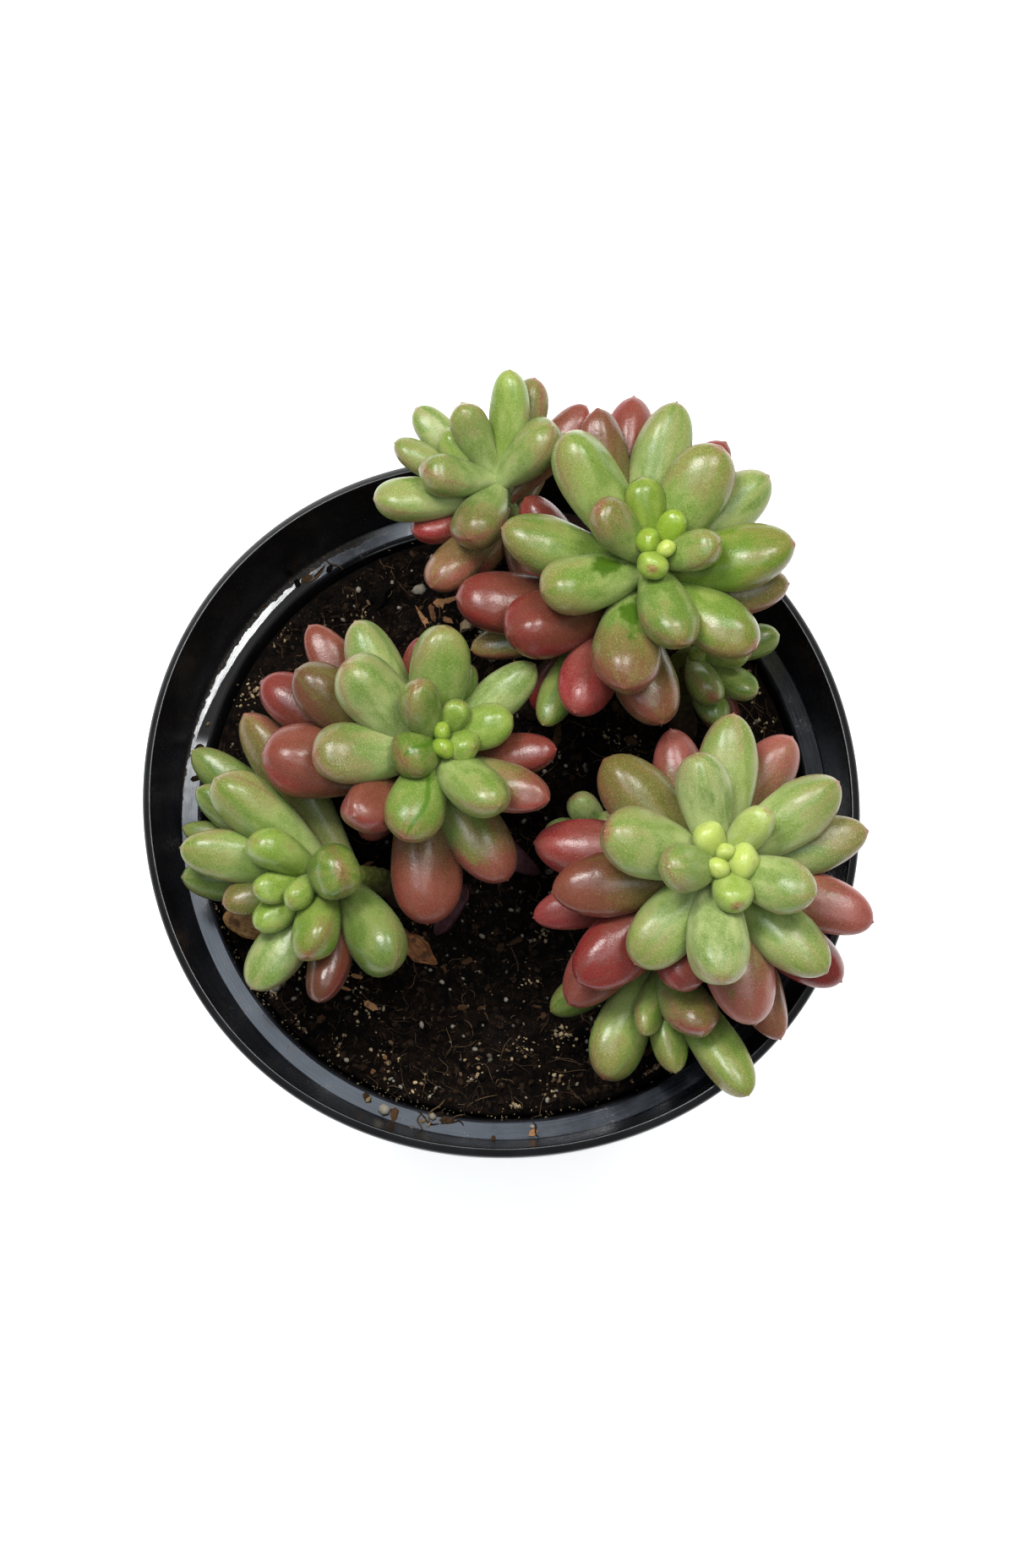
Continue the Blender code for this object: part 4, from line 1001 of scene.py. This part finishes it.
def make_grains(materials):
    """Perlite, sand, crumbs, bark flakes and dry scraps on the peat and, as in the photograph, on the ledge.

    Grains gather where the lattice noise is high, some of the sand lines the ledge's inner edge about
    LINED_BEARING, and tan crumbs also lie in round clusters, densest in their middles. A grain that would
    reach into the pot's wall is moved inwards.
    """
    for (name, count, (least, most), flat, sunk, rough, seed), material in zip(GRAINS, materials):
        draw = np.random.default_rng(seed)
        x, y = over_soil(draw, 2 * count)
        keep = np.argsort(-lattice_noise(x + 50, y + 50, 7.0, seed) - draw.uniform(0, 1.4, 2 * count))[:count]
        x, y = x[keep], y[keep]
        sizes = least * (most / least) ** (draw.uniform(0, 1, count) ** 1.6)
        if name == "sand_grains":
            lined = np.arange(count) % LINED_SHARE == 0
            turn = LINED_BEARING + LINED_SPREAD * draw.normal(size=count)
            out = LEDGE_INNER - LINED_INSET + draw.normal(size=count) * LINED_SCATTER
            out = out + oval(turn, np.full(count, LEDGE_HEIGHT))
            x, y = np.where(lined, out * np.cos(turn), x), np.where(lined, out * np.sin(turn), y)
        if name == "tan_crumbs":
            for px, py, spread, number in TAN_CLUSTERS:
                cx, cy, _ = seen_at((px, py), SOIL_TOP + BIT_LIFT)
                x, y, sizes = extended((x, y, sizes), cx + spread * draw.normal(size=number),
                                       cy + spread * draw.normal(size=number),
                                       least * (most * 1.5 / least) ** draw.uniform(0, 1, number))
        for px, py, size in SOIL_BITS.get(name, ()):
            cx, cy, _ = seen_at((px, py), SOIL_TOP + BIT_LIFT)
            x, y, sizes = extended((x, y, sizes), cx, cy, size)
        turn = np.arctan2(y, x)
        level = oval(turn, np.full(len(x), LEDGE_HEIGHT))
        if name != "sand_grains":
            furthest = SOIL_REACH + level - 0.9 * sizes
            inward = np.minimum(1, furthest / np.hypot(x, y))
            x, y = x * inward, y * inward
        rim = smooth(np.hypot(x, y) - level, LEDGE_INNER - 1.9, LEDGE_INNER - 0.9)
        z = soil_height(x, y) * (1 - rim) + (LEDGE_HEIGHT - 0.9) * rim + (0.5 - sunk) * sizes * flat
        for px, py, size in STEP_BITS.get(name, ()):
            cx, cy, _ = seen_at((px, py), LEDGE_HEIGHT + STEP_LIFT)
            x, y, z, sizes = extended((x, y, z, sizes), cx, cy, LEDGE_HEIGHT + 0.28 * size * flat, size)
        grains(name, x, y, z, sizes, flat, rough, seed + 100, material)


def make_fibres(material):
    """Roots and coir: thin tubes that lie on the peat, swinging from side to side along their length.

    A fibre's path is a straight run with one and two waves of sine sideways, raised in the middle.
    """
    draw = np.random.default_rng(31)
    x, y = over_soil(draw, FIBRE_COUNT)
    aim = draw.uniform(0, 2 * pi, FIBRE_COUNT)
    length = FIBRE_SHORTEST * FIBRE_RANGE ** draw.uniform(0, 1, FIBRE_COUNT) ** 2.0
    thick = draw.uniform(*FIBRE_THICKNESS, FIBRE_COUNT)
    at_step = np.zeros(FIBRE_COUNT)
    for px, py, degrees, long in STEP_STRANDS:
        cx, cy, _ = seen_at((px, py), LEDGE_HEIGHT + STEP_LIFT)
        x, y, aim, length, thick, at_step = extended(
            (x, y, aim, length, thick, at_step), cx, cy, radians(degrees), long, STRAND_THICKNESS, 1)
    count = len(x)
    t = np.linspace(-0.5, 0.5, FIBRE_KNOTS)[None]
    sway = length[:, None] * (draw.uniform(-FIBRE_SWAY, FIBRE_SWAY, (count, 1)) * np.cos(pi * t)
                              + draw.uniform(-FIBRE_SNAKE, FIBRE_SNAKE, (count, 1)) * np.sin(2 * pi * t))
    run = length[:, None] * t
    c, s = np.cos(aim)[:, None], np.sin(aim)[:, None]
    px, py = x[:, None] + run * c - sway * s, y[:, None] + run * s + sway * c
    out = np.hypot(px, py)
    reach = np.where(at_step[:, None] > 0, out, np.minimum(out, SOIL_REACH + 0.8))
    px, py = px * reach / out, py * reach / out
    ground = np.where(at_step[:, None] > 0, LEDGE_HEIGHT, soil_height(px, py))
    lift = thick[:, None] * 0.7 + draw.uniform(0.0, 0.9, (count, 1)) * (0.25 - t ** 2) * 2
    path = np.stack([px, py, ground + lift], -1)
    ahead = unit(np.gradient(path, axis=1))
    side = unit(np.cross(ahead, (0.0, 0.0, 1.0)))
    over = np.cross(side, ahead)
    v = around(FIBRE_SIDES)[:, None]
    wide = (thick[:, None] * (1 - 1.6 * np.abs(t) ** 2))[:, :, None, None]
    ring = path[:, :, None] + wide * (np.cos(v) * side[:, :, None] - np.sin(v) * over[:, :, None])
    tint = np.zeros((count, 1, 3))
    tint[:, 0, 0] = draw.uniform(0, 1, count)
    points = closed(path[:, 0], ring, path[:, -1])
    new_piece("peat_fibres", points, skin(FIBRE_KNOTS, FIBRE_SIDES, count), [material],
              attributes={"tint": np.repeat(tint, len(points) // count, 1).reshape(-1, 3)})


def make_litter(materials):
    """The chip, the dry leaf and the shrivelled leaves: the CAD's knobbly rule with folds and crumples on it.

    Each is a closed tube along its length whose width swells as a power of a sine; long folds run along it as
    sines of the angle, and lattice noise dents it.
    """
    s = (np.arange(LITTER_RINGS) + 0.5) / LITTER_RINGS
    u = 0.5 - 0.5 * np.cos(pi * s)
    v = around(LITTER_SIDES)
    for rank, (name, slot, (x, y), length, width, height, degrees, (folds, dents)) in enumerate(LITTER):
        swell = np.sin(pi * u) ** 0.6 * (1 + 0.12 * np.sin(5 * u + length))
        noise = lattice_noise(u[:, None] * length + 20, np.cos(v) * 3 + 30, 1.7, 40 + rank)
        noise = noise + 0.5 * lattice_noise(u[:, None] * length + 9, np.sin(v) * 4 + 50, 0.8, 50 + rank)
        rough = 1 - folds * (0.5 + 0.5 * np.cos(7 * v + 3 * np.sin(4 * u[:, None]) + rank)) - dents * noise
        swell = swell[:, None] * rough
        middle = 0.5 * height * (1 - 0.25 * np.cos(2 * pi * u))
        along = np.broadcast_to(((u - 0.5) * length)[:, None], swell.shape)
        ring = np.stack([along, swell * np.cos(v) * width / 2,
                         middle[:, None] + swell * np.sin(v) * height / 2], -1)
        ends = np.array([[-length / 2, 0, middle[0]], [length / 2, 0, middle[-1]]])
        points = closed(ends[:1], ring[None], ends[1:])
        points[:, 2] += SOIL_TOP + LITTER_SEAT - points[:, 2].min()
        c, s_turn = cos(radians(degrees)), sin(radians(degrees))
        placed = np.column_stack([x + points[:, 0] * c - points[:, 1] * s_turn,
                                  y + points[:, 0] * s_turn + points[:, 1] * c, points[:, 2]])
        place = np.stack([part + 0 * swell for part in (u[:, None], np.cos(v), np.sin(v))], -1)
        place = closed(np.zeros((1, 3)), place[None], np.array([[1.0, 0, 0]]))
        new_piece(name + "_fine", placed, skin(LITTER_RINGS, LITTER_SIDES), [materials[slot]], [name],
                  {"place": place})


# Stems and leaves

class Stem:
    """A stem's path and the leaves that it carries."""

    def __init__(self, rank, name, foot, tip_pixel, tip_height, lean, spacing, readings, old_leaves):
        self.rank = rank
        self.name = name
        self.foot = np.array([foot[0], foot[1], SOIL_TOP + 1.0])
        self.crown = seen_at(tip_pixel, tip_height)
        self.axis = bearing(*lean)
        self.spacing = spacing
        self.readings = readings
        self.old_leaves = old_leaves

    def path(self, count):
        """Points from the soil to the growing tip: a cubic curve that starts upright and ends leaning."""
        arm = ARCH * np.linalg.norm(self.crown - self.foot)
        low = self.foot + np.array([0, 0, arm])
        high = self.crown - arm * self.axis
        t = np.linspace(0, 1, count)[:, None]
        return ((1 - t) ** 3 * self.foot + 3 * (1 - t) ** 2 * t * low
                + 3 * (1 - t) * t ** 2 * high + t ** 3 * self.crown)

    def below_tip(self, down):
        """Points and directions at distances below the growing tip."""
        line = self.path(300)[::-1]
        run = np.concatenate([[0], np.cumsum(np.linalg.norm(np.diff(line, axis=0), axis=1))])
        here = np.stack([np.interp(down, run, line[:, i]) for i in range(3)], -1)
        lower = np.stack([np.interp(down + 0.5, run, line[:, i]) for i in range(3)], -1)
        return here, unit(here - lower)

    def depth(self, age):
        """How far below the growing tip a leaf is rooted: further the older it is, and ever further apart."""
        return FIRST_ROOT + self.spacing * age * (TOP_PACE + PACE_GROWTH * age)

    def leaves(self):
        """Root, direction, length, width and upper side of each leaf.

        A leaf's length grows with its age along an S curve, where no length is given. Its tip is the nearer
        point of its sight line that lies at the leaf's length from the root.
        """
        age = np.arange(len(self.readings))
        roots, axes = self.below_tip(self.depth(age))
        ruled = LEAF_MIN + LEAF_GAIN / (1 + np.exp(-(age - LEAF_MIDDLE) / LEAF_PACE))
        grown = []
        for i, (x, y, width, *given) in enumerate(self.readings):
            length = given[0] if given else ruled[i]
            ray = sight_line((x, y))
            beside = EYE + ray * ((roots[i] - EYE) @ ray)
            aside = np.linalg.norm(beside - roots[i])
            length = max(length, aside)
            tip = beside - sqrt(length ** 2 - aside ** 2) * ray
            grown.append((roots[i], unit(tip - roots[i]), length, LEAF_PLUMP * width, axes[i]))
        return grown + self.hidden_leaves(self.depth(age[-1]))

    def hidden_leaves(self, lowest):
        """The oldest leaves: shorter, hanging a little, one golden angle on from each other down the stem."""
        draw = np.random.default_rng(SEED + self.rank)
        number = np.arange(self.old_leaves)
        roots, axes = self.below_tip(lowest + OLD_SPACING * (number + 1.0))
        turns = draw.uniform(0, 360) + GOLDEN_ANGLE * number
        leans = OLD_LEAN + draw.uniform(-OLD_SPREAD, OLD_SPREAD, self.old_leaves)
        sizes = draw.uniform(0.85, 1.1, self.old_leaves)
        return [(roots[i], bearing(turns[i], leans[i]), OLD_LENGTH * sizes[i], OLD_WIDTH * sizes[i], axes[i])
                for i in number]


def half_width(u):
    """A leaf's outline along its length, 0 at the root and 1 at the tip: a blunt club with a narrow neck."""
    rise = LEAF_NECK + (1 - LEAF_NECK) * np.sin(pi / 2 * np.clip(u / LEAF_PEAK, 0, 1)) ** LEAF_SHOULDER
    past = np.clip((u - LEAF_PEAK) / (1 - LEAF_PEAK), 0, 1)
    return np.where(u < LEAF_PEAK, rise, np.sqrt(1 - past ** LEAF_BLUNT))


def bend_clear(stems):
    """Turn the leaves about their roots until none touches another stem or its leaves, the pot or the soil.

    Each leaf is a row of beads. Beads that are too close push their leaves apart, for the most part along the
    line of sight, the leaf that lies over the other towards the camera, and a weak pull keeps each one's aim.
    """
    rows = [(stem.rank, age, *leaf) for stem in stems for age, leaf in enumerate(stem.leaves())]
    owner, age, root, aim, length, width, axes = (np.array(column) for column in zip(*rows))
    count, beads = len(rows), len(BEADS)
    reach = BEADS[None, :] * length[:, None]
    radius = (half_width(BEADS)[None, :] * width[:, None] / 2).ravel()
    leaf = np.repeat(np.arange(count), beads)
    outer = np.tile(BEADS > PRESSING, count)
    own = owner[leaf]
    level = 100 * owner + age

    def places(way):
        return (root[:, None] + way[:, None] * reach[:, :, None]).reshape(-1, 3)

    start = places(aim)
    i, j = np.triu_indices(count * beads, 1)
    same = own[i] == own[j]
    need = np.where(same, BEND_SNUG * (radius[i] + radius[j]), radius[i] + radius[j] + BEND_GAP)
    use = (leaf[i] != leaf[j]) & (~same | (outer[i] & outer[j]))
    use &= np.linalg.norm(start[i] - start[j], axis=1) < need + CROWD
    i, j, need, same = i[use], j[use], need[use], same[use]
    over = np.where(level[leaf[i]] < level[leaf[j]], 1.0, -1.0)[:, None] * TOWARD
    paths = [stem.path(STALK_KNOTS)[2:] for stem in stems]
    stalk = np.concatenate(paths)
    stalk_owner = np.repeat([stem.rank for stem in stems], [len(path) for path in paths])
    bead, knot = np.nonzero(own[:, None] != stalk_owner[None, :])
    near = np.linalg.norm(start[bead] - stalk[knot], axis=1) < STALK_CROWD
    bead, knot = bead[near], knot[near]
    low, high = (np.array(end) for end in WALL_LINE)
    lean = (high - low) / ((high - low) @ (high - low))

    way = aim.copy()
    for step in range(BEND_ROUNDS):
        late = step > BEND_LATE * BEND_ROUNDS
        place = places(way)
        push = np.zeros_like(place)
        apart = place[i] - place[j]
        distance = np.linalg.norm(apart, axis=1) + TINY
        lack = np.clip(need - distance, 0, None)
        lack = np.where(same & late, BEND_CALM * lack, lack)
        sightward = BEND_SIGHT * (BEND_CALM if late else 1.0)
        move = (apart / distance[:, None] * (1 - sightward) + over * sightward) * (lack * 0.5)[:, None]
        apart = place[bead] - stalk[knot]
        distance = np.linalg.norm(apart, axis=1) + TINY
        lack = np.clip(radius[bead] + STEM_RADIUS + BEND_GAP - distance, 0, None)
        dodge = apart / distance[:, None] * lack[:, None]
        for axis in range(3):
            first, second, third = (np.bincount(which, shift[:, axis], len(place))
                                    for which, shift in ((i, move), (j, move), (bead, dodge)))
            push[:, axis] += first - second
            push[:, axis] += third
        out = np.hypot(place[:, 0], place[:, 1])
        section = np.stack([out - oval(np.arctan2(place[:, 1], place[:, 0]), place[:, 2]), place[:, 2]], -1)
        along = np.clip((section - low) @ lean, 0, 1)
        away = section - low - along[:, None] * (high - low)
        distance = np.linalg.norm(away, axis=1) + TINY
        away *= (np.clip(radius + WALL_HALF + BEND_GAP - distance, 0, None) / distance)[:, None]
        push[:, 0] += away[:, 0] * place[:, 0] / out
        push[:, 1] += away[:, 0] * place[:, 1] / out
        push[:, 2] += away[:, 1] + np.clip(SOIL_TOP + LITTER_HEADROOM + radius - place[:, 2], 0, None)
        arm = np.maximum(reach.ravel(), SHORTEST_ARM)[:, None]
        turn = (push / arm).reshape(count, beads, 3).sum(1)
        turn -= way * (turn * way).sum(1, keepdims=True)
        size = np.linalg.norm(turn, axis=1, keepdims=True) + TINY
        turn *= np.minimum(size, BEND_MOST) / size
        pull = BEND_KEEP if step < BEND_ROUNDS - BEND_LAST else 0.0
        way = unit(way + BEND_STEP * turn + pull * (aim - way))
    upper = axes - way * (axes * way).sum(1, keepdims=True)
    plain = TOWARD - way * (way @ TOWARD)[:, None]
    upper = np.where(np.linalg.norm(upper, axis=1, keepdims=True) < UPRIGHT, plain, upper)
    return owner, root, way, length, width, unit(upper)


def leaf_surfaces(root, way, length, width, upper, pointed, seed):
    """Points of a stem's leaves, all at once, and each point's place on its leaf.

    A leaf is a closed tube on a bowed line: u runs from its root to its tip and v round it. The radius is the
    club outline, blended towards a cone by how pointed the leaf is, with a small nub on its end, times low
    ridges of three and of four to the turn that run out of the tip; the upper side is flatter than the lower.
    """
    draw = np.random.default_rng(seed)
    count = len(root)
    pointed = (pointed + draw.uniform(-POINT_SPREAD, POINT_SPREAD, count))[:, None].clip(0, 1)
    ridge_turn = draw.uniform(0, 2 * pi, (count, 1, 1))
    ridge = draw.uniform(*RIDGES, (count, 1, 1))
    twist = draw.uniform(-TWIST, TWIST, (count, 1, 1))
    sway = draw.uniform(-SIDEWAYS, SIDEWAYS, (count, 1, 1))
    nub = draw.uniform(*NUB_WIDTHS, count)[:, None]
    s = (np.arange(LEAF_RINGS) + 0.5) / LEAF_RINGS
    u = np.sin(pi / 2 * s) ** TIP_CROWD
    body = np.minimum(u / NUB_START, 1)
    past = np.clip((body - LEAF_PEAK) / (1 - LEAF_PEAK), 0, 1)
    cone = np.where(body < LEAF_PEAK, half_width(body), (1 - past) ** CONE)
    swell = half_width(body)[None] * (1 - pointed) + cone[None] * pointed
    swell = np.maximum(swell, nub * np.sqrt(np.clip((1 - u) / (1 - NUB_START), 0, 1)))
    v = around(LEAF_SIDES)
    near_tip = smooth(u, 0.45, 0.9)[None, :, None]
    shape = (1 + ridge * (np.cos(3 * v + ridge_turn) + np.cos(4 * v - ridge_turn)) * near_tip
             + WAIST * np.cos(2 * v + 5 * u[:, None] + ridge_turn * 2))
    radius = swell[:, :, None] * shape * (width / 2)[:, None, None]
    across = np.cross(way, upper)
    line = root[:, None] + length[:, None, None] * (
        u[None, :, None] * way[:, None] + (u ** 2 - u)[None, :, None] * (
            LEAF_BOW * upper[:, None] + sway * across[:, None]))
    turn = v + twist * u[:, None] ** 2
    thick = LEAF_THICKNESS * np.where(np.sin(v) < 0, UPPER_SIDE, UNDERSIDE)
    rings = (line[:, :, None] + (radius * np.cos(turn))[..., None] * across[:, None, None]
             + (radius * thick * np.sin(turn))[..., None] * -upper[:, None, None])
    points = closed(line[:, 0], rings, root + length[:, None] * way)
    quarter = (v / (pi / 2)) % 4
    height = -(1 - np.abs(quarter % 2 - 1)) * np.where(quarter < 2, 1, -1)
    flat = np.broadcast_to
    shape = (count, LEAF_RINGS, LEAF_SIDES)
    place = np.stack([flat(u[:, None], shape), flat(np.cos(v), shape), flat(height, shape)], -1)
    end = np.zeros((count, 3))
    return points, closed(end + place[:, 0].mean(1), place, end + (1, 0, 0))


def stalk_surface(stem):
    """Points of a stalk: a tube on the stem's path, thinner to the top, with knobs where leaves dropped."""
    path = stem.path(STEM_RINGS)
    root_end = np.array([[stem.foot[0], stem.foot[1], SOIL_TOP - ROOT_DEPTH]])
    path = np.concatenate([root_end, path])
    ahead = unit(np.gradient(path, axis=0))
    ahead[:2] = (0, 0, 1)
    side = unit(np.cross(ahead, (0.31, 0.95, 0.0)))
    other = np.cross(ahead, side)
    grown = np.linspace(0, 1, len(path))
    radius = STEM_RADIUS * (1 - (1 - STEM_TAPER) * grown)
    v = around(STEM_SIDES)
    run = np.arange(len(path))[:, None]
    knobs = np.clip(np.cos(2 * v[None] + run * 0.55) * np.cos(run * 0.9 + v[None]), 0, 1) ** 2
    wide = radius[:, None] * (0.93 + 0.10 * knobs)
    ring = path[:, None] + wide[..., None] * (
        np.cos(v)[None, :, None] * side[:, None] + np.sin(v)[None, :, None] * other[:, None])
    points = closed(path[:1], ring[None], path[-1:] + ahead[-1:] * 0.6)
    place = np.zeros((1, *ring.shape))
    place[..., 0] = grown[None, :, None]
    return points, closed(np.zeros((1, 3)), place, np.ones((1, 3))), len(path)


def make_stems(leaf, stalk):
    """The eight leafy stems: stalk and leaves in one piece each."""
    stems = [Stem(rank, *row) for rank, row in enumerate(STEMS)]
    owner, *grown = bend_clear(stems)
    for stem in stems:
        mine = np.flatnonzero(owner == stem.rank)
        pointed = [int(digit) for digit in LEAF_POINTS[stem.name]] + [OLD_POINT] * stem.old_leaves
        root, way, length, width, upper = (column[mine] for column in grown)
        width = np.where((np.arange(len(mine)) < BUD_AGE) & (width < BUD_WIDTH), BUD_SWELL, 1.0) * width
        points, place = leaf_surfaces(root, way, length, width, upper, POINT_STEP * np.array(pointed),
                                      SEED * 10 + stem.rank)
        tones = (LEAF_TONES[stem.name] + OLD_TONES)[:len(mine)]
        values = np.array([TONES[letter] for letter in tones])
        draw = np.random.default_rng(SEED + 50 + stem.rank)
        values[:, 0:2] += draw.uniform(-0.04, 0.04, (len(mine), 2)) * (values[:, 4:5] < 0.5)
        values[:, 6] += BLOOMS.get(stem.name, 0)
        shade_and_marks = np.zeros((len(mine), 3))
        # The first value is the tone's darkness, which paints shade on the leaf.
        shade_and_marks[:, 0] = values[:, 3]
        for column, marked in ((1, SCARRED), (2, RUBBED)):
            for name, number in marked:
                if name == stem.name:
                    shade_and_marks[number, column] = 1
        each = LEAF_RINGS * LEAF_SIDES + 2
        stalk_points, stalk_place, rings = stalk_surface(stem)
        spread = [np.repeat(part, each, 0) for part in (values[:, 0:3], values[:, 4:7], shade_and_marks)]
        blank = np.zeros_like(stalk_points)
        quads, fans = skin(LEAF_RINGS, LEAF_SIDES, len(mine))
        stalk_quads, stalk_fans = (faces + len(points) for faces in skin(rings, STEM_SIDES))
        labels = dict(zip(("blush", "growth", "shade_and_marks"), (np.concatenate([part, blank]) for part in spread)))
        labels["place"] = np.concatenate([place, stalk_place])
        new_piece("leafy_" + stem.name, np.concatenate([points, stalk_points]),
                  (quads, fans, stalk_quads, stalk_fans), [leaf, stalk], [stem.name], labels,
                  groups_material=(0, 0, 1, 1))


# Stage

def make_stage():
    """A white floor, a broad lamp overhead, a fill and a softbox at each side behind the plant."""
    mesh = bpy.data.meshes.new("floor")
    mesh.from_pydata([(-3, -3, 0), (3, -3, 0), (3, 3, 0), (-3, 3, 0)], [], [(0, 1, 2, 3)])
    floor = put("floor", mesh)
    white = Finish("white floor", Base_Color=(0.93, 0.93, 0.93, 1), Roughness=0.8,
                   Emission_Color=(1.0, 1.0, 1.0, 1), Emission_Strength=FLOOR_GLOW)
    mesh.materials.append(white.material)
    world = bpy.data.worlds.new("studio")
    world.use_nodes = True
    background = world.node_tree.nodes["Background"]
    background.inputs["Color"].default_value = (0.96, 0.98, 1.0, 1)
    background.inputs["Strength"].default_value = ROOM_LIGHT
    bpy.context.scene.world = world
    for name, place, size, watts, colour in LIGHTS:
        lamp = bpy.data.lights.new(name, "AREA")
        lamp.shape = "RECTANGLE"
        lamp.size, lamp.size_y = size
        lamp.energy = watts
        lamp.color = colour
        thing = put(name, lamp)
        thing.location = place
        thing.visible_camera = False


def make_camera():
    """The photograph's view: from EYE straight at the rim's centre, framed so that it falls on its pixel."""
    wide, tall = PHOTO_SIZE
    camera = bpy.data.cameras.new("photograph")
    camera.lens = SENSOR * SIGHT_DISTANCE * PIXELS_PER_MM / tall
    camera.sensor_width = SENSOR
    camera.shift_x = (wide / 2 - POT_PIXEL[0]) / tall
    camera.shift_y = (POT_PIXEL[1] - tall / 2) / tall
    camera.clip_start = 0.01
    axes = np.stack([RIGHT, UP, TOWARD], 1)
    thing = put("photograph", camera)
    thing.matrix_world = Matrix([(*row, place * MM) for row, place in zip(axes, EYE)] + [(0, 0, 0, 1)])
    bpy.context.scene.camera = thing


make_camera()
make_stage()
make_pot(pot_finish("black pot plastic", 0.5), pot_finish("pot outside", 0.25))
make_soil(peat_finish())
make_grains([speckled_finish(*look) for look in GRAIN_LOOKS])
make_fibres(speckled_finish(*FIBRE_LOOK))
make_litter({slot: litter_finish(*look) for slot, look in LITTER_LOOKS.items()})
make_stems(leaf_finish(), stalk_finish())
bpy.context.scene.view_settings.view_transform = "Standard"
